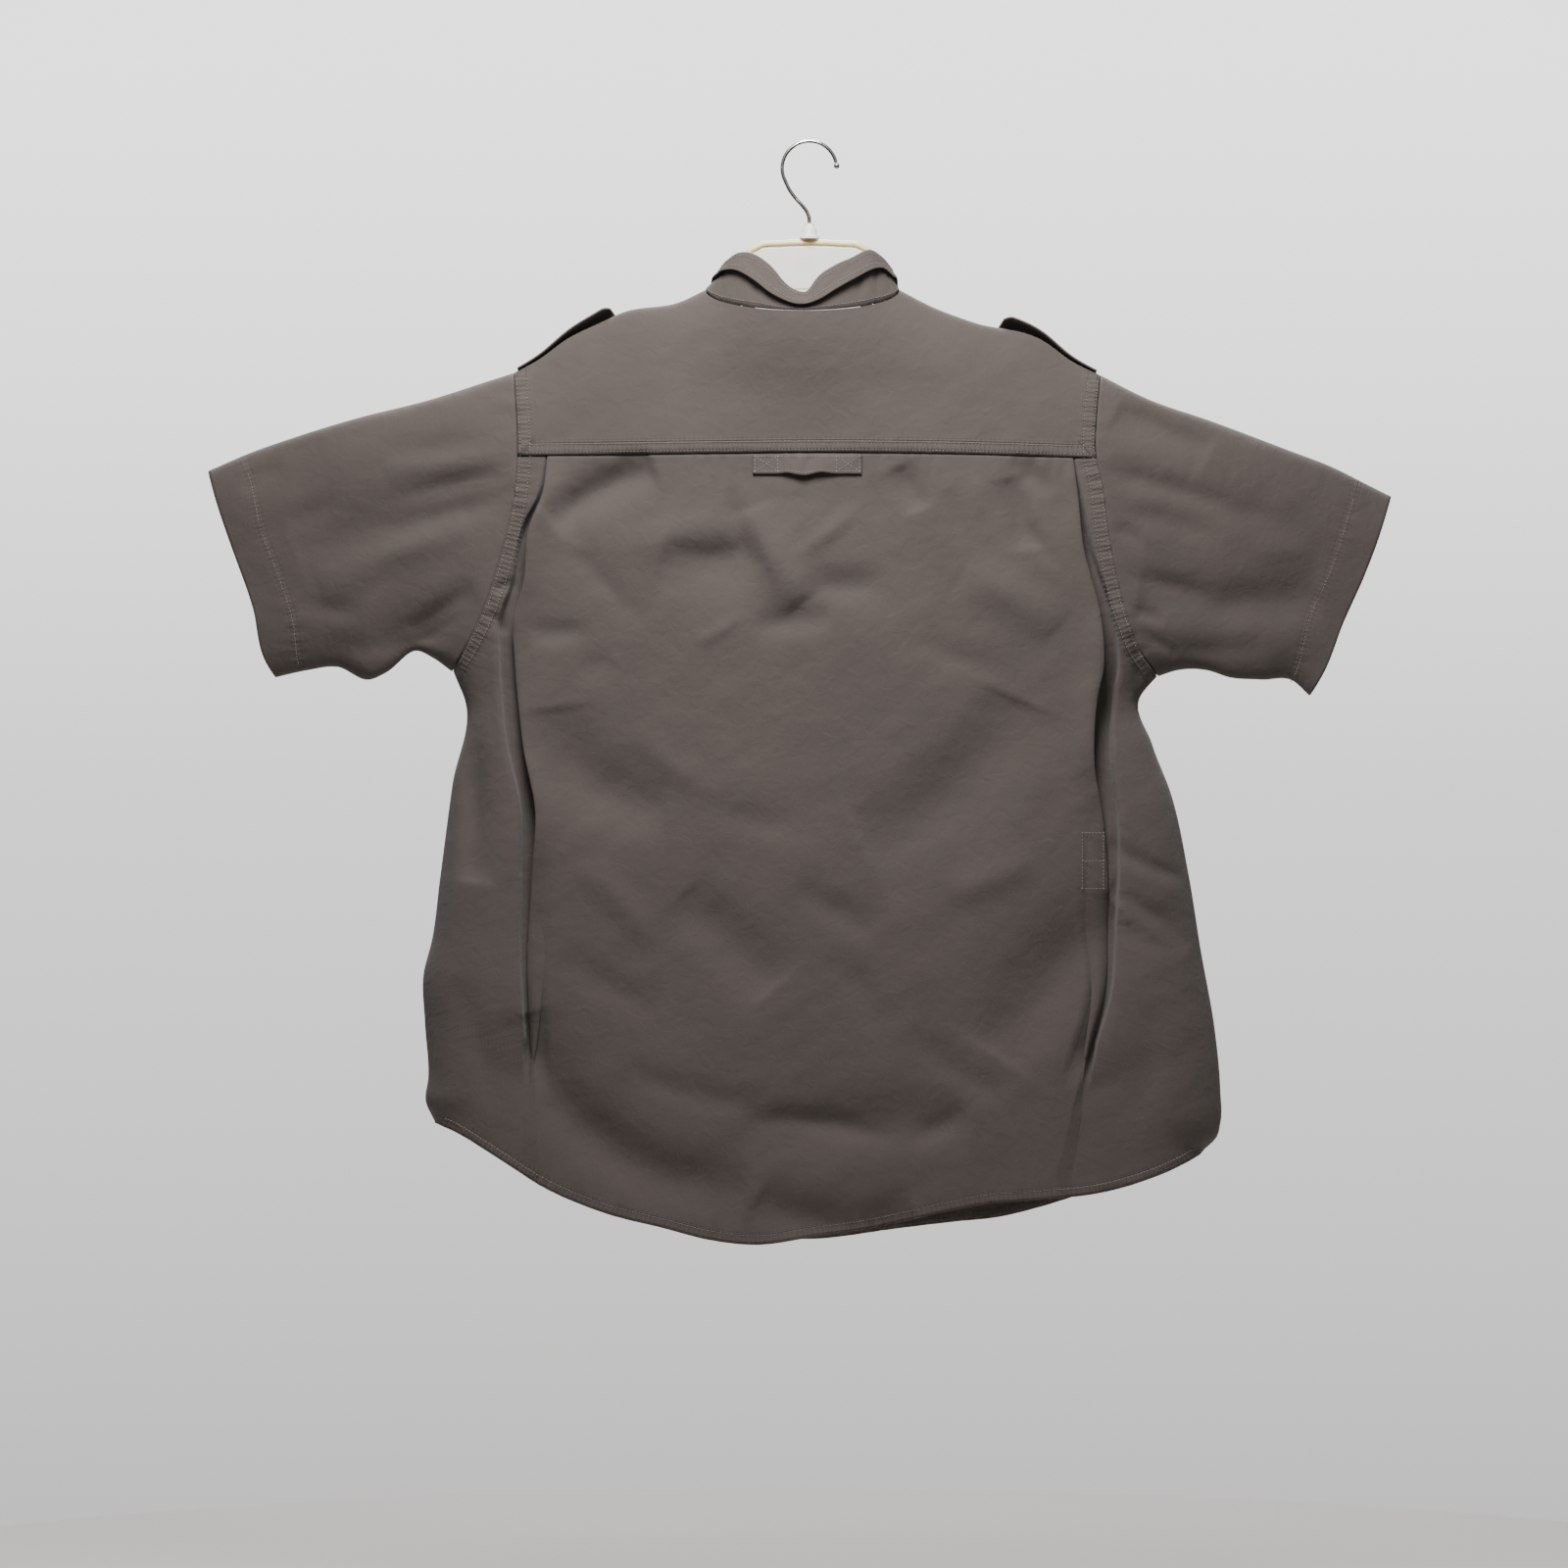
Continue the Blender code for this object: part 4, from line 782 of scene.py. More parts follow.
def yoke_front(hand):
    places, flats = [], []
    for fall in YOKE_FORWARD * bent(20):
        x_arm = armhole_x(hand, SHOULDER_END[hand][1] + fall, False)
        x_neck = NECK_X + hand * NECK_HALF * math.cos(math.asin(fall / NECK_FRONT))
        x = x_arm + (x_neck - x_arm) * np.linspace(0, 1, 52)
        drop = shoulder[hand](x) + fall - (SEAM_GAP / 2 if fall == YOKE_FORWARD else 0)
        lap = YOKE_LAP * float(step((fall - YOKE_FORWARD + 12) / 4))
        depth = np.zeros(len(x)) if fall == 0 else sheet_depth(x, drop, True) + lap
        places.append(on_sheet(x, drop, True, depth=depth))
        flats.append(np.stack((x, fall - shoulder[hand](x)), -1))
    return np.array(places), np.array(flats)


arm_seams = [Seam(armhole_line[hand], 0.0, 1.0, None) for hand in HANDS]
yoke_fronts = []
for hand in HANDS:
    x = np.linspace(SHOULDER_END[hand][0], NECK_POINT[hand], 30)
    yoke_fronts.append(Seam(drawn(x, shoulder[hand](x) + YOKE_FORWARD), 0.0, 1.0, True))
cloth("back_yoke_cloth", [yoke_back(), yoke_front(-1), yoke_front(1)], body_twill,
      seams=arm_seams + [Seam(yoke_line, 0.0, 1.0, False)] + yoke_fronts)

# %% [markdown]
# ## Back with two action pleats
# From each armhole the cloth runs in towards the middle, doubles back under itself and comes
# forward again at a fold, so there are three layers along each side. At the shoulder the
# pleat is held by the yoke seam, and further down a bar tack closes it. Between the two the
# outer fold has sprung open here and there, and beside it the side piece dives under, which
# leaves a shaded groove.

# %% The back panel
# From under the pleat to its outer fold: how far across, how far the bend swells, which layer
PLEAT_BENDS = (((0, -0.8, 1.75), (0, -0.8, 1.25), (0, 0, 1.0))
               + tuple((k / 8, 0, 1.0) for k in range(1, 8))
               + ((1, 0, 1.0), (1, 0.8, 0.75), (1, 0.8, 0.25)))
# Of those bends, how many stay still when the outer fold springs open
STILL_BENDS = 4
TOP_POINTS = 10
PLEAT_SINK = 6.0
PLEAT_LIP = 3.5


def pleat_half(hand, drop_at):
    """One row across a side of the back: from its edge, under the pleat, to the outer fold."""
    x_edge = edge_place(hand, drop_at, 12)
    edge_drop = drop_at(x_edge)
    fold_drop = drop_at(float(pleat[hand](edge_drop)))
    x_fold = float(pleat[hand](fold_drop))
    reach = float(pleat_under(fold_drop))
    x_deep = x_fold - hand * reach
    lap = float(step((reach + 6) / 8))
    held = max(reach, 3.0)
    spring = float(pleat_open[hand](fold_drop)) * lap
    held_open = float(step((fold_drop - 285) / 60))
    x_mouth = x_deep + hand * held
    groove = float(pleat_groove(fold_drop)) * lap
    low, sunk = 2 * LAYER, 2 * LAYER + PLEAT_SINK * lap * held_open
    side_low = low * (1 - lap) + 0.2 * LAYER * lap
    x_lip = x_mouth + hand * (groove + PLEAT_LIP)
    shares, dive = bent(18), np.linspace(0, 1, 9)[1:]
    floor_x = x_mouth + hand * groove * np.linspace(1, 0, 5)[1:]
    x = np.concatenate((x_edge + (x_lip - x_edge) * shares, x_lip - hand * PLEAT_LIP * dive,
                        floor_x, x_deep + hand * held * (1 - dive)))
    still = len(x) + STILL_BENDS
    level = np.concatenate((side_low * step(shares), side_low + (sunk - side_low) * step(dive),
                            np.full(4, sunk), low + (sunk - low) * (1 - dive)))
    even = (np.arange(len(PLEAT_BENDS)) + 1) / (len(PLEAT_BENDS) + 1)
    end, bend, layer = np.array(PLEAT_BENDS).T
    toward = end * lap + even * (1 - lap)
    x = np.concatenate((x, x_deep + (x_fold - x_deep) * toward + hand * bend * lap))
    level = np.concatenate((level, (layer * lap + (2 - 2 * even) * (1 - lap)) * LAYER))
    top_x = x_fold - hand * np.linspace(0, 1, TOP_POINTS) * max(reach, 12.0)
    x = np.concatenate((x, top_x))
    level = np.concatenate((level, np.zeros(TOP_POINTS)))
    near = np.exp(-((x_fold - x) / 15) ** 2)
    opening = np.linspace(0, 1, len(PLEAT_BENDS) - STILL_BENDS) ** 2
    outer = np.concatenate((np.zeros(still), opening, np.ones(TOP_POINTS)))
    out = -level + spring * near * outer
    place = on_sheet(x, drop_at(x), out=out)
    at_side = edge_drop >= UNDERARM[hand] - 1
    if at_side:
        place[0, 1] = -SEAM_GAP / 2
    run = np.concatenate(([0.0], np.cumsum(np.hypot(np.diff(place[:, 0]), np.diff(place[:, 1])))))
    return place, run


def back_rows():
    places, flats = [], []
    for share in np.linspace(0, 1, 225):
        def drop_at(x):
            top = yoke_seam(x) + SEAM_GAP / 2
            return top + share * (back_hem(x) - top)
        left, left_run = pleat_half(-1, drop_at)
        right, right_run = pleat_half(1, drop_at)
        x = np.linspace(left[-1, 0], right[-1, 0], 128)[1:-1]
        centre = on_sheet(x, drop_at(x))
        places.append(np.vstack((left, centre, right[::-1])))
        across = np.concatenate((left[-1, 0] - left_run[-1] + left_run, x,
                                 (right[-1, 0] + right_run[-1] - right_run)[::-1]))
        flats.append(np.stack((across, places[-1][:, 2]), -1))
    return np.array(places), np.array(flats)


cloth("back_panel_cloth", [back_rows()], body_twill,
      seams=arm_seams + [Seam(back_hem_line, 0.0, 1.3, None)])

# %% [markdown]
# ## Fronts and placket
# The fronts hang behind the back here, buttoned. The wearer's left front carries the placket,
# a folded band, and laps over the other by the band's width.

# %% The two fronts and the placket
def front_rows(hand):
    x_neck = NECK_X + hand * NECK_HALF * math.cos(math.asin(YOKE_FORWARD / NECK_FRONT))
    turns = np.radians(np.linspace(121, 162, 12))
    stations = NECK_X + hand * NECK_HALF * np.sin(turns)
    last = CENTRE_X - hand * PLACKET_WIDTH / 2
    stations = np.concatenate((stations, np.linspace(stations[-1], last, 15)[1:]))

    def top_at(x):
        across = np.minimum(np.abs(x - NECK_X) / NECK_HALF, 1)
        neck = NECK_DROP + NECK_FRONT * np.sqrt(1 - across ** 2)
        seam = np.where(x < NECK_X, shoulder[-1](x), shoulder[1](x)) + YOKE_FORWARD
        return np.where(np.abs(x - NECK_X) > abs(x_neck - NECK_X) - 0.01, seam, neck) + SEAM_GAP / 2

    places, flats = [], []
    for share in np.linspace(0, 1, 190):
        def drop_at(x):
            return top_at(x) + share * (front_hem(x) - top_at(x))
        x_edge = edge_place(hand, drop_at, 14)
        edge_drop = float(drop_at(x_edge))
        spread = 0.45 * bent(60) + 0.55 * np.linspace(0, 1, 60)
        x = np.concatenate((x_edge + (x_neck - x_edge) * spread, stations))
        drop = drop_at(x)
        under = LAYER * step((CENTRE_X + PLACKET_WIDTH / 2 + 9 - x) / 8) if hand > 0 else 0.0
        place = on_sheet(x, drop, True, out=-under)
        if edge_drop >= UNDERARM[hand] - 1:
            place[0, 1] = SEAM_GAP / 2
        places.append(place)
        flats.append(np.stack((x, -drop), -1))
    return np.array(places), np.array(flats)


front_seams = arm_seams + [Seam(front_hem_line, 0.0, 1.3, None)]
cloth("front_left_cloth", [front_rows(-1)], body_twill, seams=front_seams)
cloth("front_right_cloth", [front_rows(1)], body_twill, seams=front_seams)


PLACKET_OUT = 1.8


def placket_rows():
    x, share = np.meshgrid(np.linspace(-0.5, 0.5, 14) * PLACKET_WIDTH + CENTRE_X,
                           np.linspace(0, 1, 230))
    top = NECK_DROP + NECK_FRONT + 1.0
    drop = top + share * (front_hem(x) - 1.0 - top)
    out = PLACKET_OUT - 0.35 * step((np.abs(x - CENTRE_X) - 11.5) / 3)
    return on_sheet(x, drop, True, out=out), np.stack((x, -drop), -1)


cloth("front_placket_cloth", [placket_rows()], band_twill)

# %% [markdown]
# ## Sleeves
# A sleeve is a tube from the armhole to the cuff. Rings between the two are found by a Coons
# patch: each point lies between the four edges of the flat sleeve, and the back and the front
# of a ring follow their sheets. A wide hem is turned up inside, held by one row of stitches.

# %% The sleeves
def sleeve_rings(hand):
    far = CUFFS[hand]
    d_top, d_low = far["drop"][0], far["drop"][-1]
    a_top, a_low = SHOULDER_END[hand][1], UNDERARM[hand]
    corners = np.array(((float(armhole[hand](a_top)), a_top), (float(cuff[hand](d_top)), d_top),
                        (float(armhole[hand](a_low)), a_low), (float(cuff[hand](d_low)), d_low)))
    turn = np.linspace(0, math.pi, 62)
    t = (1 - np.cos(turn)) / 2
    t = np.concatenate((t, t[-2:0:-1]))
    front = np.arange(len(t)) >= 62
    places, flats = [], []
    for s in np.linspace(0, 1, 92):
        arm_drop, end_drop = a_top + t * (a_low - a_top), d_top + t * (d_low - d_top)
        arm = drawn(armhole_x(hand, arm_drop, True), arm_drop)
        end = drawn(cuff[hand](end_drop), end_drop)
        top_x = corners[0][0] + s * (corners[1][0] - corners[0][0])
        low_x = corners[2][0] + s * (corners[3][0] - corners[2][0])
        top = np.array((top_x, float(sleeve_top[hand](top_x))))
        low = np.array((low_x, float(sleeve_under[hand](low_x))))
        tt = t[:, None]
        ruled = (1 - s) * arm + s * end + (1 - tt) * top + tt * low
        ruled = ruled - (1 - s) * ((1 - tt) * corners[0] + tt * corners[2]) \
            - s * ((1 - tt) * corners[1] + tt * corners[3])
        x, drop = ruled[:, 0], ruled[:, 1]
        beyond = step(0.5 + hand * (x - cuff_stitch[hand](drop)) / 3)
        depth = np.where(front, sheet_depth(x, drop, True), sheet_depth(x, drop, False)) + 0.5 * beyond
        depth[(t == 0) | (t == 1)] = 0.0
        places.append(np.stack((x, depth * np.where(front, 1, -1), -drop), -1))
        flats.append(np.stack((x, np.where(front, drop, -drop)), -1))
    return np.array(places), np.array(flats)


for hand, word in SIDES:
    cloth("sleeve_%s_cloth" % word, [sleeve_rings(hand)], body_twill, closed=True,
          seams=[Seam(cuff_stitch_line[hand], 10.6, 0.6, None)])

# %% [markdown]
# ## Collar
# The stand rises from the neck seam, and the leaf turns over it and falls outwards. Both run
# round the neck, so a place on them is a turn in degrees from the centre back and a height.

# %% The collar
COLLAR = dict(
    turn=(-180, -150, -120, -90, -75, -59, -43, -30, -19, -11, -3,
          3, 9, 20, 31, 48, 58, 74, 90, 120, 150, 180),
    fold_drop=(167, 158, 136, 112, 109, 103, 97, 100, 111, 124, 131,
               131, 120, 109, 102.5, 94.5, 98, 106, 113, 138, 158, 167),
    edge_drop=(200, 214, 172, 118, 116, 112, 113, 121.5, 133, 139, 142.5,
               142, 139, 129.5, 121, 111, 110, 117, 119, 174, 214, 200),
    edge_out=(1.5, 2.5, 2.5, 1.2, 1.2, 2.4, 3.3, 3.8, 3.6, 3.2, 2.8,
              2.8, 2.8, 3.7, 3.9, 3.4, 2.4, 1.3, 1.2, 2.5, 2.5, 1.5),
    lean=(5, 5, 8, 15, 13, 9, 7, 5, 5, 5, 5,
          5, 5, 5, 5, 6, 7, 8, 9, 6, 5, 5))
FOLD_INSET = 5.0
LEAF_OVER = 2.8
STAND_SHORT = 4.2
# Soft creases that run up the stand
STAND_CREASES = dict(turn=(-62, -30, 37, 52, 70), reach=(4, 3, 3.5, 3, 3),
                     depth=(1.0, 1.6, 1.6, 1.3, 0.9))
LEAF_LIES = 2.6
LEAF_END = 171.0
STAND_END = 177.0
collar_fold = track(COLLAR, "turn", "fold_drop")
collar_edge = track(COLLAR, "turn", "edge_drop")
collar_flare = track(COLLAR, "turn", "edge_out")
collar_lean = track(COLLAR, "turn", "lean")
collar_wave = soft_noise(21, 16.0)


def collar_spots(turn, height, out):
    """Points of the collar: height runs from the neck seam, 0, to the fold, 1."""
    angle = np.radians(turn)
    beside = np.abs(np.sin(angle)) ** 4
    seam_x, inward = NECK_X + NECK_HALF * np.sin(angle), np.abs(np.cos(angle))
    back = sheet_depth(seam_x, NECK_DROP + NECK_BACK * inward)
    fore = sheet_depth(seam_x, NECK_DROP + NECK_FRONT * inward, True)
    front = np.abs(turn) > 90
    drop = NECK_DROP + np.where(front, NECK_FRONT, NECK_BACK) * np.abs(np.cos(angle))
    depth = np.where(front, fore, -back) * np.minimum(np.abs(np.abs(turn) - 90) / 6, 1)
    away = np.stack((np.sin(angle) / NECK_HALF, -np.cos(angle) / 34.0), -1)
    away = away / np.linalg.norm(away, axis=-1, keepdims=True)
    shift = out - 0.6 * beside
    low = SEAM_GAP + 1.3 * beside - drop
    z = low + (-collar_fold(turn) - low) * height
    x = NECK_X + (NECK_HALF - collar_lean(turn) * height) * np.sin(angle) + shift * away[..., 0]
    y = depth + shift * away[..., 1] + FOLD_INSET * height * np.cos(angle)
    return np.stack((x, y, z), -1)


def cloth_top(x, front):
    """The highest place of the shirt's body at x: the shoulder ridge or the neck seam."""
    across = np.minimum(np.abs(x - NECK_X) / NECK_HALF, 1)
    neck = NECK_DROP + np.where(front, NECK_FRONT, NECK_BACK) * np.sqrt(1 - across ** 2)
    beyond = np.where(x < 0, shoulder[-1](x), shoulder[1](x))
    return np.where(across < 1, neck, beyond)


def stand_rows():
    turn = np.linspace(-STAND_END, STAND_END, 236)
    places, flats = [], []
    for height in np.linspace(0, 1, 9):
        dents = sum(depth * np.exp(-((turn - at) / reach) ** 2) for at, reach, depth in
                    zip(STAND_CREASES["turn"], STAND_CREASES["reach"], STAND_CREASES["depth"]))
        out = 0.35 * collar_wave(turn, 40 * height) * height - dents * math.sin(math.pi * height)
        place = collar_spots(turn, height, out)
        place[:, 2] -= (STAND_SHORT + np.sin(np.radians(turn)) ** 4) * height ** 4
        places.append(place)
        flats.append(np.stack((turn * 1.25, np.full(len(turn), 34 * height)), -1))
    return np.array(places), np.array(flats)


def leaf_rows():
    turn = np.linspace(-LEAF_END, LEAF_END, 236)
    places, flats = [], []
    for over, up in ((0.0, -2.2), (0.15, -1.3), (0.5, -0.6), (1.0, -0.1), (1.6, 0.0), (2.3, -0.35),
                     (LEAF_OVER, -1.2)):
        places.append(collar_spots(turn, 1.0, over) + (0, 0, up))
    top, low = (collar_spots(turn, height, 0.0)[:, 2] for height in (1.0, 0.0))
    for share in np.linspace(0, 1, 16)[1:]:
        z = top - 1.2 + (-collar_edge(turn) - top + 1.2) * share
        beside_stand = np.clip((z - low) / (top - low), 0, 1)
        place = collar_spots(turn, beside_stand, LEAF_OVER + collar_flare(turn) * share ** 1.2)
        front = place[:, 1] > 0
        below = step((-z - cloth_top(place[:, 0], front) + 2) / 5)
        lying = np.where(front, sheet_depth(place[:, 0], -z, True), sheet_depth(place[:, 0], -z))
        y = np.maximum(np.abs(place[:, 1]), (lying + LEAF_LIES) * below)
        y = y + 0.5 * collar_wave(turn + 90, 30 * share) * share
        places.append(np.stack((place[:, 0], np.copysign(y, place[:, 1]), z), -1))
    for k in range(len(places)):
        flats.append(np.stack((turn * 1.3, np.full(len(turn), 2.4 * k)), -1))
    return np.array(places), np.array(flats)


cloth("collar_stand_cloth", [stand_rows()], body_twill)
leaf_grid = leaf_rows()
cloth("collar_leaf_cloth", [leaf_grid], band_twill)

# %% [markdown]
# ## Back tab and shoulder straps
# The tab is a short doubled strap that is sewn flat at both ends and arches free in the
# middle. The shoulder straps run from the armhole towards the neck, where each is pointed and
# buttoned, and their loose back edges have curled up.

# %% The tab and the straps
TAB_LEFT, TAB_RIGHT = -49.0, 45.0
TAB_TOP, TAB_HEIGHT = 271.6, 17.0
TAB_OUT = 2.0
STRAP_WALL = 1.5
TAB_ARCH = 3.0
STRAP_LENGTH = 108.0
STRAP_HALF = 21.0
STRAP_RISE = 2.8
STRAP_CURL = 8.5


def tab_spots(across, down, out=0.0):
    x = TAB_LEFT + (TAB_RIGHT - TAB_LEFT) * across
    loose = step((across - 0.2) / 0.2) * step((0.8 - across) / 0.2)
    wave = 1.4 * np.sin(across * 17) * loose * down
    lift = TAB_OUT + TAB_ARCH * loose * (0.4 + 0.6 * down) + 0.2 * np.sin(across * 40 + down) * loose
    return on_sheet(x, TAB_TOP + TAB_HEIGHT * down + wave, out=lift + out)


across, down = np.meshgrid(np.linspace(0, 1, 64), np.linspace(0, 1, 14))
flat = np.stack((across * (TAB_RIGHT - TAB_LEFT), down * TAB_HEIGHT), -1)
cloth("back_tab_cloth", [(tab_spots(across, down), flat)], band_twill, wall=STRAP_WALL)


def strap_spots(hand, share, across, extra=0.0):
    """Points of a shoulder strap; across runs from its back edge, -1, to its front edge, 1."""
    share, across = np.broadcast_arrays(np.asarray(share, float), np.asarray(across, float))
    width = 1.0 - 0.7 * np.maximum(share - 0.82, 0) / 0.18
    x = SHOULDER_END[hand][0] - hand * (3.0 + STRAP_LENGTH * 0.86 * share)
    fall = STRAP_HALF * (0.82 + across * width)
    ridge = shoulder[hand](x)
    curl = STRAP_CURL * (np.minimum(share / 0.78, 1) ** 1.3) * step((1.0 - share) / 0.22)
    rise = STRAP_RISE + curl * ((1 - across) / 2) ** 1.3 + extra
    below = np.maximum(fall, 0.05)
    depth, deeper = (sheet_depth(x, ridge + f, True) for f in (below, below + 1.0))
    slope = np.maximum(deeper - depth, 0.0) * np.where(fall > 12, 1.0, 3.0 - fall / 6)
    slope = np.where(fall <= 0.05, 40.0, slope)
    size = np.hypot(1, slope)
    y = np.where(fall <= 0.05, fall, depth + rise / size)
    z = np.where(fall <= 0.05, rise - ridge, rise * slope / size - ridge - fall)
    return np.stack((x, y, z), -1)


for hand, word in SIDES:
    across, share = np.meshgrid(np.linspace(-1, 1, 34), np.linspace(0, 1, 60))
    flat = np.stack((share * 93, across * STRAP_HALF), -1)
    cloth("epaulette_%s_cloth" % word, [(strap_spots(hand, share, across), flat)], band_twill,
          wall=STRAP_WALL)

# %% [markdown]
# ## Hanger
# A moulded hanger with a flat white web inside a thicker cream rim, a short neck and a bent
# wire hook. The rim and the hook are round bars along smooth lines, so they are curves with a
# bevel, turned into meshes. The web is the same outline, filled, with its edges eased.

# %% The hanger
HOOK_RADIUS = 23.6
HOOK_WIRE = 1.6
RIM_RADIUS = 3.0
WEB_THICK = 4.0
HANGER_TOP = dict(x=(0, 25, 46, 53, 57, 64, 80), drop=(86.5, 87.5, 91, 97, 110, 126, 139))
HANGER_BOTTOM = dict(x=(0, 20, 50, 80, 111, 163, 204), drop=(130, 131, 141, 154, 163, 178, 194))
HOOK_STEM = dict(drop=(32, 41, 48.5, 54.5, 60, 65, 69.7), x=(-21.4, -17, -11.5, -6, -2, -0.3, 0))
ARM_END = 207.0
ARM_FOOT = 204
ARM_CLEAR = 5.4
NECK_RINGS = ((8.5, 0.0), (8.3, 1.6), (7.0, 2.4), (6.4, 6.0), (5.6, 9.6), (4.4, 10.6), (4.2, 13.0))
hanger_top = track(HANGER_TOP, "x", "drop")
hanger_bottom = track(HANGER_BOTTOM, "x", "drop")
hook_stem = track(HOOK_STEM, "drop", "x")


def rim_line():
    """The hanger's outline, clockwise from the left arm's tip over the top and back below."""
    upper = []
    for hand in HANDS:
        half = [(hand * x, float(hanger_top(x))) for x in np.linspace(0, 68, 30)]
        for x in np.linspace(abs(NECK_POINT[hand]) + 6, ARM_END, 24):
            half.append((hand * x, float(shoulder[hand](hand * x)) + ARM_CLEAR))
        upper.append(half)
    left, right = upper
    tips = []
    for hand in (1, -1):
        x, top = (right if hand > 0 else left)[-1]
        foot = float(hanger_bottom(ARM_FOOT))
        middle, half = (top + foot) / 2, (foot - top) / 2
        tips.append([(x + hand * half * 0.8 * math.cos(a), middle - half * math.sin(a))
                     for a in np.radians(np.linspace(60, -60, 9))])
    low = [(x, float(hanger_bottom(abs(x)))) for x in np.linspace(ARM_FOOT, -ARM_FOOT, 60)]
    return left[::-1][:-1] + right + tips[0] + low + tips[1][::-1]


def finished(name, mesh, finish, nodes):
    """A hard piece: its mesh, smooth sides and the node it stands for."""
    mesh.name = name
    mesh.materials.clear()
    mesh.materials.append(finish)
    mesh.shade_smooth()
    mesh.set_sharp_from_angle(angle=math.radians(50))
    obj = show(name, mesh)
    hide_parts(*nodes)
    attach(obj, "root")
    print("%s: %d faces" % (name, len(mesh.polygons)))
    return obj


def curve_mesh(points, flat=False, cyclic=False, **settings):
    """A curve through points in millimetres, made a plain mesh."""
    curve = bpy.data.curves.new("line", "CURVE")
    curve.dimensions = "2D" if flat else "3D"
    spline = curve.splines.new("POLY")
    spline.points.add(len(points) - 1)
    rows = np.array([(x * MM, y * MM, z * MM, 1) for x, y, z in points])
    spline.points.foreach_set("co", rows.ravel())
    spline.use_cyclic_u = cyclic
    for key, value in settings.items():
        setattr(curve, key, value)
    holder = show("line", curve)
    mesh = baked(holder)
    bpy.data.objects.remove(holder)
    bpy.data.curves.remove(curve)
    return mesh


def moulded(name, colour, stain, stain_size, roughness):
    """Old moulded plastic: a satin skin with faint mottling and a yellowed stain."""
    material, graph, shader = start_finish(name, roughness, Coat_Weight=0.15, Coat_Roughness=0.3)
    place = graph.node("ShaderNodeTexCoord", out=OBJECT_PLACE)
    cloud = graph.noise(place, stain_size, 4.0)
    pores = graph.noise(place, 900.0)
    amount = (cloud - 0.46) * 2.2
    colour = mix(graph, held(graph, amount), linear(colour), linear(stain))
    bump = graph.bump(pores, 0.15, 0.0002)
    wire(graph, shader, Base_Color=colour, Normal=bump, Roughness=pores * 0.1 + (roughness - 0.05))
    return material


def plated(name):
    """Bright plated wire whose plating has worn through to brown in patches."""
    material, graph, shader = start_finish(name, 0.22, 1.0)
    place = graph.node("ShaderNodeTexCoord", out=OBJECT_PLACE)
    patches = graph.noise(place, 130.0, 6.0, Roughness=0.65)
    worn = held(graph, (patches - 0.56) * 9.0)
    draw = graph.noise(place, 1400.0)
    colour = mix(graph, worn, linear((0.78, 0.77, 0.76)), linear((0.36, 0.27, 0.19)))
    bump = graph.bump(worn * 0.6 + draw * 0.2, 0.3, 0.0003)
    wire(graph, shader, Base_Color=colour, Normal=bump, Roughness=worn * 0.4 + 0.2)
    return material


white_plastic = moulded("white_plastic", (0.975, 0.97, 0.955), (0.95, 0.935, 0.87), 40.0, 0.4)
cream_plastic = moulded("cream_plastic", (0.935, 0.875, 0.66), (0.88, 0.78, 0.50), 22.0, 0.38)
plated_wire = plated("plated_wire")

outline = rim_line()
rim = curve_mesh([(x, 0, -d) for x, d in outline], cyclic=True,
                 bevel_depth=RIM_RADIUS * MM, bevel_resolution=5)
finished("rim", rim, cream_plastic, ["hanger_rim"])
inset, inner = RIM_RADIUS + 0.4, []
for k, (x, d) in enumerate(outline):
    (xa, da), (xb, db) = outline[k - 1], outline[(k + 1) % len(outline)]
    length = math.hypot(xb - xa, db - da)
    inner.append((x - (db - da) / length * inset, -(d + (xb - xa) / length * inset), 0))
web = curve_mesh(inner, flat=True, cyclic=True, fill_mode="BOTH", extrude=(WEB_THICK / 2 - 0.5) * MM,
                 bevel_depth=0.5 * MM, bevel_resolution=2, offset=-0.5 * MM)
spun = np.empty(len(web.vertices) * 3)
web.vertices.foreach_get("co", spun)
spun = spun.reshape(-1, 3)
web.vertices.foreach_set("co", np.stack((spun[:, 0], -spun[:, 2], spun[:, 1]), -1).ravel())
finished("web", web, white_plastic, ["hanger_web"])

arc = np.radians(np.arange(12, 205, 4))
hook = [(HOOK_RADIUS * math.cos(a), 0, HOOK_WIRE - HOOK_RADIUS + HOOK_RADIUS * math.sin(a))
        for a in arc]
hook += [(float(hook_stem(d)), 0, -d) for d in np.linspace(33, 69.7, 26)]
wire_mesh = curve_mesh(hook, bevel_depth=HOOK_WIRE * MM, bevel_resolution=5, use_fill_caps=True)
finished("hook", wire_mesh, plated_wire, ["hanger_hook"])


def turned(profile, count):
    """A closed turned shape round the Z axis from (radius, level) rows in millimetres."""
    bm = bmesh.new()
    rings = [[bm.verts.new((r * math.cos(a) * MM, r * math.sin(a) * MM, z * MM))
              for a in np.linspace(0, 2 * math.pi, count, endpoint=False)] for r, z in profile]
    for low, high in zip(rings[:-1], rings[1:]):
        for k in range(count):
            bm.faces.new((low[k], low[(k + 1) % count], high[(k + 1) % count], high[k]))
    bm.faces.new(rings[0][::-1])
    bm.faces.new(rings[-1])
    mesh = bpy.data.meshes.new("turned")
    bm.to_mesh(mesh)
    bm.free()
    return mesh


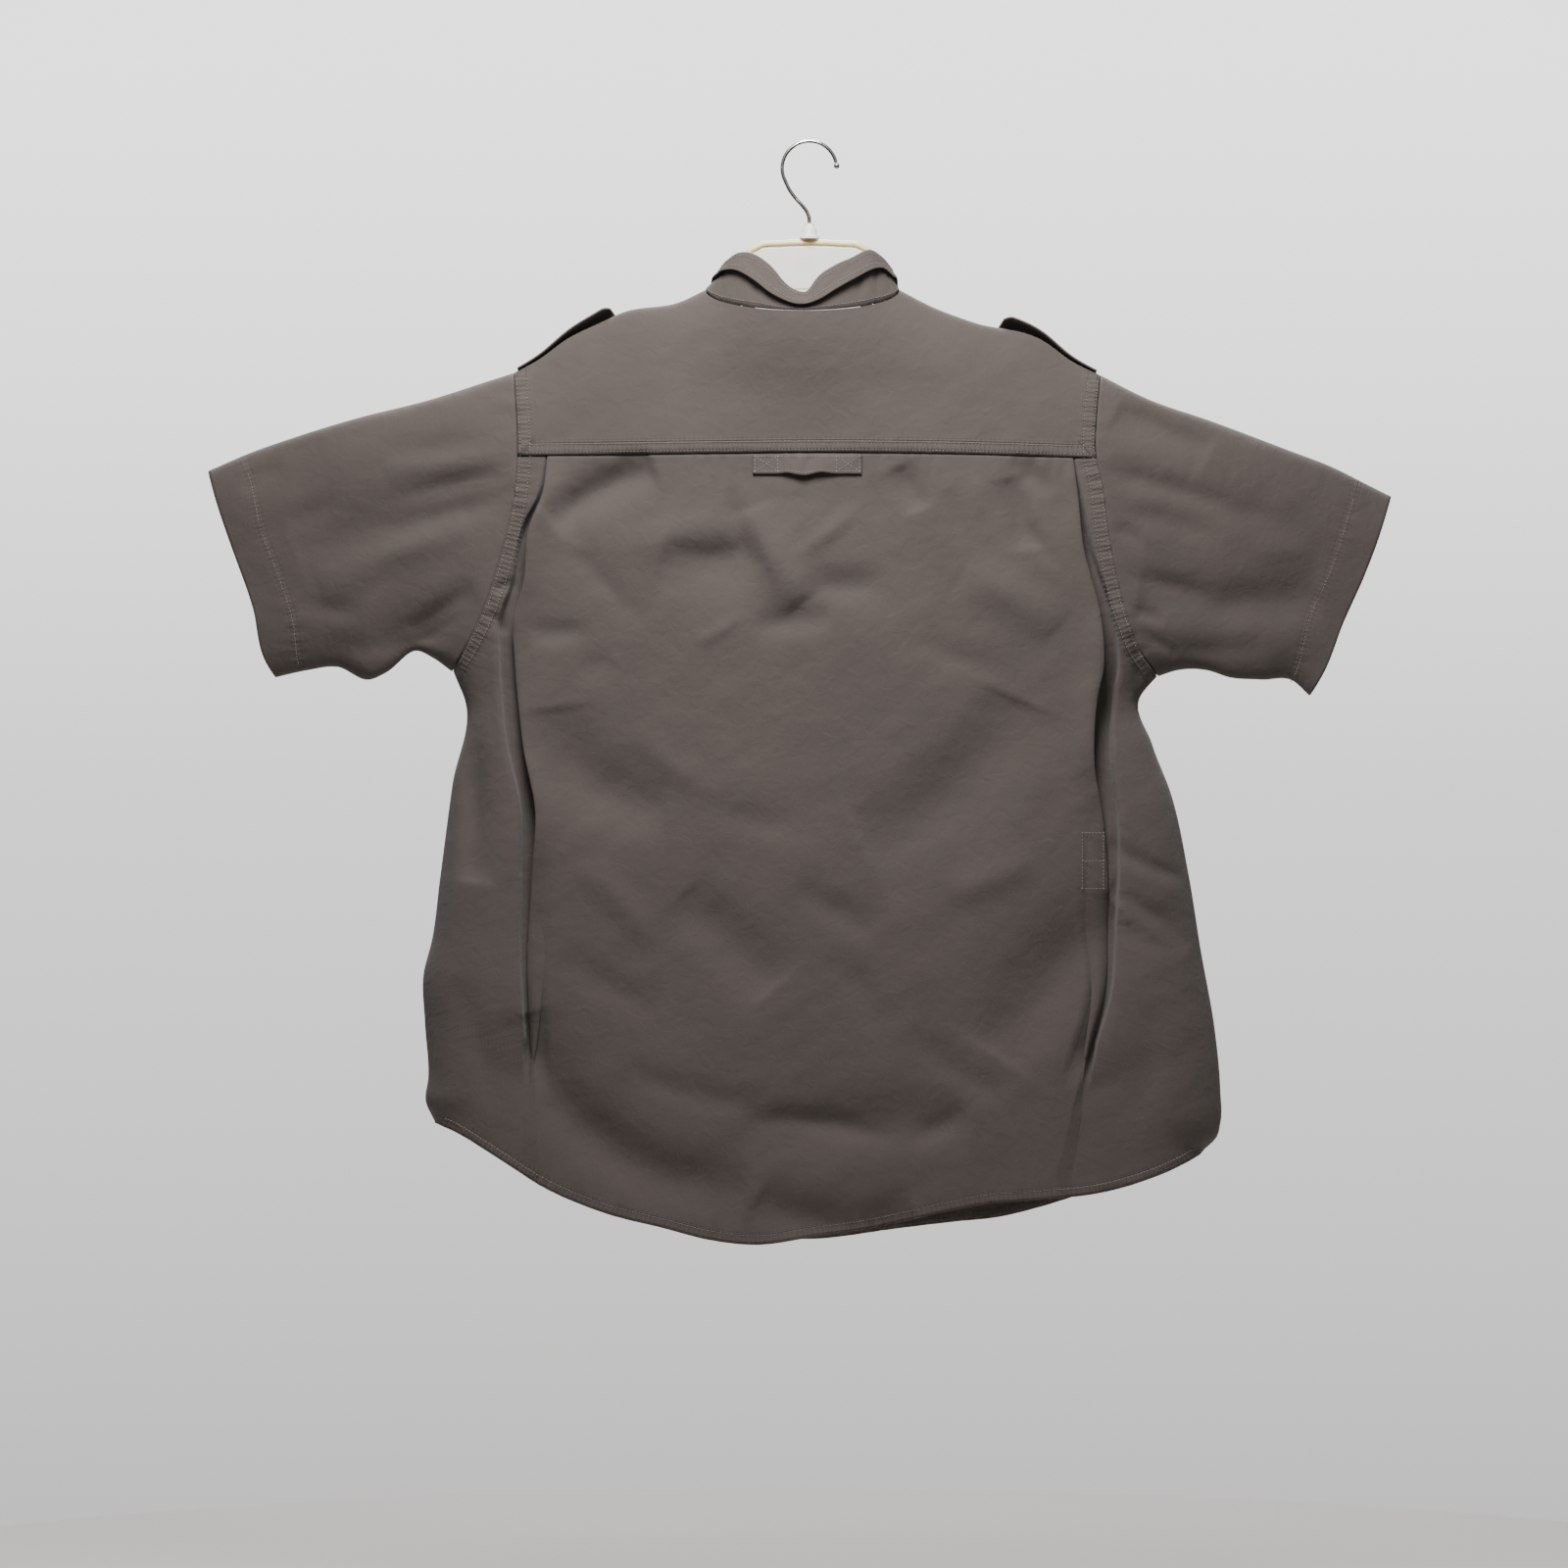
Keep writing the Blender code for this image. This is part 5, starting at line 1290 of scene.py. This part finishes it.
neck = turned(NECK_RINGS, 40)
neck.transform(Matrix.Translation((0, 0, -(hanger_top(0) - RIM_RADIUS - 0.4) * MM)))
finished("neck", neck, white_plastic, ["hanger_neck"])
ball_low, ball_high = (Vector(c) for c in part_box("hook_tip"))
ball_size = (ball_high.z - ball_low.z) / 2 / MM
ball_rows = [(ball_size * math.sin(a), -ball_size * math.cos(a))
             for a in np.linspace(0.06, math.pi - 0.06, 15)]
ball = turned(ball_rows, 24)
ball.transform(Matrix.Translation((ball_low + ball_high) / 2))
finished("hook_end", ball, plated_wire, ["hook_tip"])

# %% [markdown]
# ## Buttons
# A shirt button is a turned disc with a rim and a sunk middle that four holes pass through,
# sewn on with two bars of thread. One button is made, its holes cut with a Boolean, and a
# copy is laid where each plain disc of the frame lies, turned the same way.

# %% The buttons
BUTTON_RADIUS = 5.8
BUTTON_THICK = 2.6
BUTTON_PROFILE = ((0.86, 0.0), (0.95, 0.12), (1.0, 0.35), (0.99, 0.7), (0.94, 0.92), (0.88, 1.0),
                  (0.80, 0.97), (0.70, 0.78), (0.58, 0.68), (0.3, 0.66), (0.05, 0.66))
HOLE_PLACE = 1.35
HOLE_RADIUS = 0.62
BAR_RADIUS = 0.42


def polished(name):
    """Dark horn-like polyester with soft clouds, polished, a little dull from washing."""
    material, graph, shader = start_finish(name, 0.3, Coat_Weight=0.4, Coat_Roughness=0.2)
    place = graph.node("ShaderNodeTexCoord", out=OBJECT_PLACE)
    cloud = graph.noise(place, 260.0, 5.0, Distortion=1.2)
    colour = mix(graph, cloud, linear((0.13, 0.11, 0.095)), linear((0.31, 0.26, 0.22)))
    wire(graph, shader, Base_Color=colour, Roughness=cloud * 0.2 + 0.22)
    return material


def thread_finish(name, srgb):
    """Spun sewing thread: matt, with a fine twist along it."""
    material, graph, shader = start_finish(name, 0.8, Sheen_Weight=0.2)
    place = graph.node("ShaderNodeTexCoord", out=OBJECT_PLACE)
    twist = graph.noise(place, 2600.0)
    colour = mix(graph, twist, linear([c * 0.85 for c in srgb]),
                 linear([min(1, c * 1.12) for c in srgb]))
    wire(graph, shader, Base_Color=colour)
    return material


horn = polished("polished_button")
sewing_thread = thread_finish("sewing_thread", (0.53, 0.485, 0.455))

disc = show("disc", turned([(r * BUTTON_RADIUS, z * BUTTON_THICK) for r, z in BUTTON_PROFILE], 40))
drills = bmesh.new()
for a in (45, 135, 225, 315):
    spot = Matrix.Translation((HOLE_PLACE * math.cos(math.radians(a)) * MM,
                               HOLE_PLACE * math.sin(math.radians(a)) * MM, BUTTON_THICK / 2 * MM))
    bmesh.ops.create_cone(drills, cap_ends=True, segments=12, radius1=HOLE_RADIUS * MM,
                          radius2=HOLE_RADIUS * MM, depth=2 * BUTTON_THICK * MM, matrix=spot)
drill_mesh = bpy.data.meshes.new("drills")
drills.to_mesh(drill_mesh)
drills.free()
drill = show("drill", drill_mesh)
cut = disc.modifiers.new("holes", "BOOLEAN")
cut.operation, cut.object, cut.solver = "DIFFERENCE", drill, "EXACT"
drilled = baked(disc)
for obj in (disc, drill):
    bpy.data.objects.remove(obj)
bars = bmesh.new()
bars.from_mesh(drilled)
for hand in HANDS:
    spot = Matrix.Translation((0, hand * HOLE_PLACE * 0.7 * MM, 0.72 * BUTTON_THICK * MM))
    turn = Matrix.Rotation(math.pi / 2, 4, "Y")
    made = bmesh.ops.create_cone(bars, cap_ends=True, segments=10, radius1=BAR_RADIUS * MM,
                                 radius2=BAR_RADIUS * MM, depth=2 * HOLE_PLACE * 0.82 * MM,
                                 matrix=spot @ turn)
    for face in {f for v in made["verts"] for f in v.link_faces}:
        face.material_index = 1
sewn = bpy.data.meshes.new("sewn_button")
bars.to_mesh(sewn)
bars.free()

for name in sorted(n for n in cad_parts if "button" in n):
    flat_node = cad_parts[name]
    spots = np.array([v.co[:] for v in flat_node.data.vertices])
    centre = spots.mean(0)
    normal = Vector(np.linalg.svd(spots - centre)[2][2])
    normal = normal if normal.y + normal.z > 0 else -normal
    turn = normal.to_track_quat("Z", "Y").to_matrix().to_4x4()
    level = min((Vector(v) - Vector(centre)).dot(normal) for v in spots)
    mesh = sewn.copy()
    mesh.transform(Matrix.Translation(Vector(centre) + normal * level) @ turn)
    piece = finished(name + "_sewn", mesh, horn, [name])
    piece.data.materials.append(sewing_thread)

# %% [markdown]
# ## Stitches
# Thousands of equal stitches along a few dozen lines are a job for Geometry Nodes: each line
# is cut into steps of one stitch, a grain of thread is laid along it at every step, with a
# little random wobble, and all are joined into one mesh. The lines themselves follow the
# cloth, a hair above it.

# %% The stitch lines
ON_TOP = CLOTH_WALL / 2 + 0.12
# How far the rows lie inside the edge or seam that they follow
YOKE_ROWS = (2.6, 9.8)
ARMHOLE_ROWS = (2.2, 10.6)
HEM_ROW = 8.0
PLACKET_ROWS = (-11.3, 11.3)
SIDE_SEAM_ROWS = (0.0, 6.0)
TAB_ROWS = (0.12, 0.88)
TAB_BOXES = ((0.02, 0.23), (0.77, 0.98))
STRAP_ROWS = (-0.8, 0.8)
STRAP_END = 0.96
# On the tab and the straps, how far the thread lies outside the middle of the cloth
STRAP_OUT, TAB_SEWN_OUT = 0.95, 0.9
stitch_lines = []


def sew(points):
    stitch_lines.append(np.asarray(points, float))


def sew_sheet(x, drop, front=False, out=ON_TOP):
    sew(on_sheet(x, drop, front, out=out))


yoke_x = np.linspace(-247, 243, 240)
for above in YOKE_ROWS:
    sew_sheet(yoke_x, yoke_seam(yoke_x) - above, out=ON_TOP + YOKE_LAP)
    for hand in HANDS:
        x = np.linspace(SHOULDER_END[hand][0] - hand * 4, NECK_POINT[hand] + hand * 4, 80)
        sew_sheet(x, shoulder[hand](x) + YOKE_FORWARD - above, True, out=ON_TOP + YOKE_LAP)
for hand in HANDS:
    for inward in ARMHOLE_ROWS:
        for front in (False, True):
            drop = np.linspace(SHOULDER_END[hand][1] + 6, UNDERARM[hand] - 6, 150)
            seam = yoke_seam(0)
            lap = 0.0 if front else YOKE_LAP * step((drop - seam + 12) / 4) * (drop < seam)
            sew_sheet(armhole[hand](drop) - hand * inward, drop, front, out=ON_TOP + lap + 0.1)
    for front in (False, True):
        drop = np.linspace(CUFFS[hand]["drop"][0] + 4, CUFFS[hand]["drop"][-1] - 12, 90)
        sew_sheet(cuff_stitch[hand](drop), drop, front, out=ON_TOP + 0.3)
hem_x = np.linspace(-314, 330, 330)
sew_sheet(hem_x, back_hem(hem_x) - HEM_ROW)
for hand in HANDS:
    x = hem_x[(hem_x - CENTRE_X) * hand > PLACKET_WIDTH / 2 + 1]
    sew_sheet(x, front_hem(x) - HEM_ROW, True)
for inward in PLACKET_ROWS:
    drop = np.linspace(NECK_DROP + NECK_FRONT + 4, front_hem(CENTRE_X) - 3, 320)
    sew_sheet(np.full(320, CENTRE_X + inward), drop, True, out=ON_TOP + 1.75)

# The bar-tack boxes on the pleats, and the stretch of side seam that shows on the back
TACK_LEFT = dict(x0=-234.0, x1=-220.0, drop0=601.0, drop1=635.0)
TACK_RIGHT = dict(x0=235.0, x1=253.0, drop0=598.0, drop1=646.0)
for box in (TACK_LEFT, TACK_RIGHT):
    x0, x1, top, low = (box[key] for key in ("x0", "x1", "drop0", "drop1"))
    middle = (top + low) / 2
    bars = (((x0, top), (x1, top)), ((x1, top), (x1, low)), ((x1, low), (x0, low)),
            ((x0, low), (x0, top)), ((x0, middle), (x1, middle)))
    for a, b in np.array(bars):
        line = a + (b - a) * np.linspace(0, 1, 24)[:, None]
        sew_sheet(line[:, 0], line[:, 1], out=ON_TOP + 0.2)
SIDE_SEAM = dict(drop=(540, 552, 582, 610, 639, 665, 690), x=(-284, -288, -298, -306, -314, -321, -325))
side_seam = track(SIDE_SEAM, "drop", "x")
drop = np.linspace(542, 688, 90)
for inward in SIDE_SEAM_ROWS:
    sew_sheet(side_seam(drop) + inward, drop, out=ON_TOP - 2 * LAYER)

# The tab's edge and the crossed boxes that hold its ends
upper, lower = TAB_ROWS
for level in TAB_ROWS:
    share = np.linspace(0.02, 0.98, 120)
    sew(tab_spots(share, np.full(120, level), out=TAB_SEWN_OUT))
for left, right in TAB_BOXES:
    for a, b in (((left, upper), (left, lower)), ((right, upper), (right, lower)),
                 ((left, upper), (right, lower)), ((left, lower), (right, upper))):
        t = np.linspace(0, 1, 26)
        sew(tab_spots(a[0] + (b[0] - a[0]) * t, a[1] + (b[1] - a[1]) * t, out=TAB_SEWN_OUT))

# The collar: a row along the leaf's edge and one just above the neck seam
turn = np.linspace(-LEAF_END, LEAF_END, 236)
leaf_face = leaf_grid[0]
leaf_out = np.gradient(leaf_face, axis=0), np.gradient(leaf_face, axis=1)
leaf_normal = np.cross(leaf_out[1], leaf_out[0])
leaf_normal /= np.linalg.norm(leaf_normal, axis=-1, keepdims=True)
away = leaf_face[:, :, :2] - np.array((NECK_X, 0))
leaf_normal *= np.sign((leaf_normal[..., :2] * away).sum(-1, keepdims=True))
for row in (8, 17):
    sew(leaf_face[row] + leaf_normal[row] * (ON_TOP + 0.1))
stand_turn = np.linspace(-STAND_END + 4, STAND_END - 4, 236)
sew(collar_spots(stand_turn, 0.1, ON_TOP + 0.1))

for hand in HANDS:
    share = np.linspace(0.03, STRAP_END, 90)
    for across in STRAP_ROWS:
        sew(strap_spots(hand, share, np.full(90, across), STRAP_OUT))
    sew(strap_spots(hand, np.full(30, STRAP_END), np.linspace(*STRAP_ROWS, 30), STRAP_OUT))
print("%d lines of stitches, %.1f m" % (len(stitch_lines), sum(
    np.linalg.norm(np.diff(line, axis=0), axis=1).sum() for line in stitch_lines) * MM))

# %% [markdown]
# The tree has named inputs for the step, the length and the thickness of a stitch, so the
# same tree sews any row. It is written with the same class of sockets as the finishes.

# %% The stitch tree
STITCH_STEP = 2.9
STITCH_LENGTH = 2.35
STITCH_RADIUS = 0.34
STITCH_SEED = 11
# A stitch tips a little either way, and turns about its own length
WOBBLE_FROM, WOBBLE_TO = (-0.07, -0.07, 0.0), (0.07, 0.07, 3.0)


def stitch_tree():
    tree = bpy.data.node_groups.new("row_of_stitches", "GeometryNodeTree")
    face = tree.interface
    face.new_socket("Lines", in_out="INPUT", socket_type="NodeSocketGeometry")
    for label, kind in (("Step", "NodeSocketFloat"), ("Length", "NodeSocketFloat"),
                        ("Radius", "NodeSocketFloat"), ("Seed", "NodeSocketInt"),
                        ("Thread", "NodeSocketMaterial")):
        face.new_socket(label, in_out="INPUT", socket_type=kind)
    face.new_socket("Stitches", in_out="OUTPUT", socket_type="NodeSocketGeometry")

    graph = Socket(tree)
    given, result = tree.nodes.new("NodeGroupInput"), tree.nodes.new("NodeGroupOutput")

    def entry(label):
        return Socket(tree, given.outputs[label])

    steps = graph.node("GeometryNodeResampleCurve", {"mode": "LENGTH"},
                       {"Curve": entry("Lines"), "Length": entry("Step")})
    along = graph.node("GeometryNodeInputTangent")
    lie = graph.node("FunctionNodeAlignRotationToVector", {"axis": "Z"}, {"Vector": along})
    wobble = graph.node("FunctionNodeRandomValue", {"data_type": "FLOAT_VECTOR"},
                        {"Min": WOBBLE_FROM, "Max": WOBBLE_TO, "Seed": entry("Seed")})
    turn_by = graph.node("FunctionNodeEulerToRotation", {}, {0: wobble})
    tilt = graph.node("FunctionNodeRotateRotation", {"rotation_space": "LOCAL"}, {0: lie, 1: turn_by})
    grain = graph.node("GeometryNodeMeshIcoSphere", {}, {"Radius": 1.0, "Subdivisions": 1})
    size = graph.node("ShaderNodeCombineXYZ", {},
                      {0: entry("Radius"), 1: entry("Radius"), 2: entry("Length") * 0.5})
    shape = graph.node("GeometryNodeTransform", {}, {"Geometry": grain, "Scale": size})
    lay = graph.node("GeometryNodeInstanceOnPoints", {},
                     {"Points": steps, "Instance": shape, "Rotation": tilt})
    real = graph.node("GeometryNodeRealizeInstances", {}, {0: lay})
    dye = graph.node("GeometryNodeSetMaterial", {}, {"Geometry": real, "Material": entry("Thread")})
    tree.links.new(dye.end, result.inputs["Stitches"])
    return tree


def run_stitches(name, lines, **values):
    """Lay the lines out as one curve, run the tree on them and keep the plain mesh."""
    curve = bpy.data.curves.new(name, "CURVE")
    curve.dimensions = "3D"
    for line in lines:
        spline = curve.splines.new("POLY")
        spline.points.add(len(line) - 1)
        spline.points.foreach_set("co", np.hstack((line * MM, np.ones((len(line), 1)))).ravel())
    holder = show(name, curve)
    sewing = holder.modifiers.new("sewing", "NODES")
    sewing.node_group = stitch_tree()
    for socket in sewing.node_group.interface.items_tree:
        if socket.in_out == "INPUT" and socket.name in values:
            sewing[socket.identifier] = values[socket.name]
    mesh = baked(holder)
    holder.modifiers.clear()
    bpy.data.objects.remove(holder)
    bpy.data.curves.remove(curve)
    return mesh


mesh = run_stitches("stitches", stitch_lines, Step=STITCH_STEP * MM, Length=STITCH_LENGTH * MM,
                    Radius=STITCH_RADIUS * MM, Seed=STITCH_SEED, Thread=sewing_thread)
mesh.shade_smooth()
stitches = show("stitches", mesh)
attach(stitches, "root")
print("stitches: %d faces" % len(mesh.polygons))

# %% [markdown]
# ## What each piece was cut to
# Every piece of cloth is listed with the width and length of its flat cut, in metres, its
# area where the cut isn't a rectangle, and what it hangs from or lies on. A sleeve is one
# piece sewn into a tube, so its width is the whole way round at the armhole. The back's width
# counts the cloth doubled back in its pleats.

# %% Cuts of cloth
Cut = namedtuple("Cut", "piece width length area held rests_on")
CUTS = (
    Cut("back_yoke", 0.512, 0.183, 0.076, "hung", "rim"),
    Cut("back_panel", 0.800, 0.683, 0.475, "hung", "back_yoke_cloth"),
    Cut("front_left", 0.346, 0.787, 0.230, "hung", "back_yoke_cloth"),
    Cut("front_right", 0.375, 0.787, 0.243, "hung", "back_yoke_cloth"),
    Cut("front_placket", 0.030, 0.746, None, "hung", "front_left_cloth"),
    Cut("sleeve_left", 0.530, 0.278, 0.107, "hung", "back_yoke_cloth"),
    Cut("sleeve_right", 0.530, 0.273, 0.098, "hung", "back_yoke_cloth"),
    Cut("collar_stand", 0.430, 0.040, 0.0112, "folded", "back_yoke_cloth"),
    Cut("collar_leaf", 0.460, 0.060, 0.0130, "folded", "collar_stand_cloth"),
    Cut("back_tab", 0.094, 0.017, None, "laid", "back_panel_cloth"),
    Cut("epaulette_left", 0.108, 0.042, 0.0044, "laid", "back_yoke_cloth"),
    Cut("epaulette_right", 0.108, 0.042, 0.0044, "laid", "back_yoke_cloth"),
)
for piece in CUTS:
    made_cloth[piece.piece + "_cloth"]
print("%d sheets declared" % len(CUTS))

# %% [markdown]
# ## Floor and light
# A pale floor under the shirt, a pale backdrop behind it in a dimmer room, and a soft light
# above and close to the back. The light is nearer to the shoulders than to the hem and grazes
# down the cloth, so the folds show and the hem is in softer light, as in the photograph. A
# weaker light above the far side shows the button front.

# %% Floor, lights and world
FLOOR_DROP = 1.32
FLOOR_RADIUS = 1.25
KEY_PLACE = (-0.08, -0.75, 0.6)
KEY_AIM = (0.0, 0.0, -0.45)
KEY_SIZE = 0.5
KEY_POWER = 10.0
KEY_SPREAD = 100.0
FRONT_PLACE = (0.0, 1.0, 1.3)
FRONT_AIM = (0.0, 0.0, -0.5)
FRONT_SIZE = 0.8
FRONT_POWER = 60.0
WORLD_STOPS = ((0.0, (0.3, 0.3, 0.3)), (0.42, (0.68, 0.67, 0.66)), (0.5, (1.3, 1.28, 1.26)),
               (0.56, (2.3, 2.27, 2.23)), (1.0, (2.3, 2.3, 2.3)))
ROOM_SHARE = 0.12
BACKDROP_FROM = 0.90
BACKDROP_FADE = 12.0

bpy.ops.mesh.primitive_circle_add(vertices=128, radius=FLOOR_RADIUS, fill_type="NGON",
                                  location=(0, 0, -FLOOR_DROP))
floor = bpy.context.object
floor.name = "floor"
floor_finish, graph, shader = start_finish("pale_floor", 0.8)
shader.inputs["Base Color"].default_value = (*linear((0.86, 0.85, 0.83)), 1)
floor.data.materials.append(floor_finish)


def soft_light(name, place, aim, size, power, spread=180.0):
    data = bpy.data.lights.new(name, "AREA")
    data.spread = math.radians(spread)
    data.size = size
    data.energy = power
    lamp = show(name, data)
    lamp.location = place
    lamp.rotation_mode = "QUATERNION"
    lamp.rotation_quaternion = (Vector(aim) - Vector(place)).to_track_quat("-Z", "Y")


soft_light("key", KEY_PLACE, KEY_AIM, KEY_SIZE, KEY_POWER, KEY_SPREAD)
soft_light("front_fill", FRONT_PLACE, FRONT_AIM, FRONT_SIZE, FRONT_POWER)
world = bpy.data.worlds.new("pale_room")
world.use_nodes = True
sky = Socket(world.node_tree)
direction = sky.node("ShaderNodeTexCoord", out=0)
upward = sky.node("ShaderNodeSeparateXYZ", {}, {0: direction}, out=2)
behind = sky.node("ShaderNodeSeparateXYZ", {}, {0: direction}, out=1)
glow = sky.node("ShaderNodeValToRGB", {"stops": WORLD_STOPS}, {0: upward * 0.5 + 0.5})
share = held(sky, (behind - BACKDROP_FROM) * BACKDROP_FADE)
lit = mix(sky, share * (1 - ROOM_SHARE) + ROOM_SHARE, (0, 0, 0), glow)
sky.tree.links.new(lit.end, world.node_tree.nodes["Background"].inputs["Color"])
bpy.context.scene.world = world
print("floor and light placed")
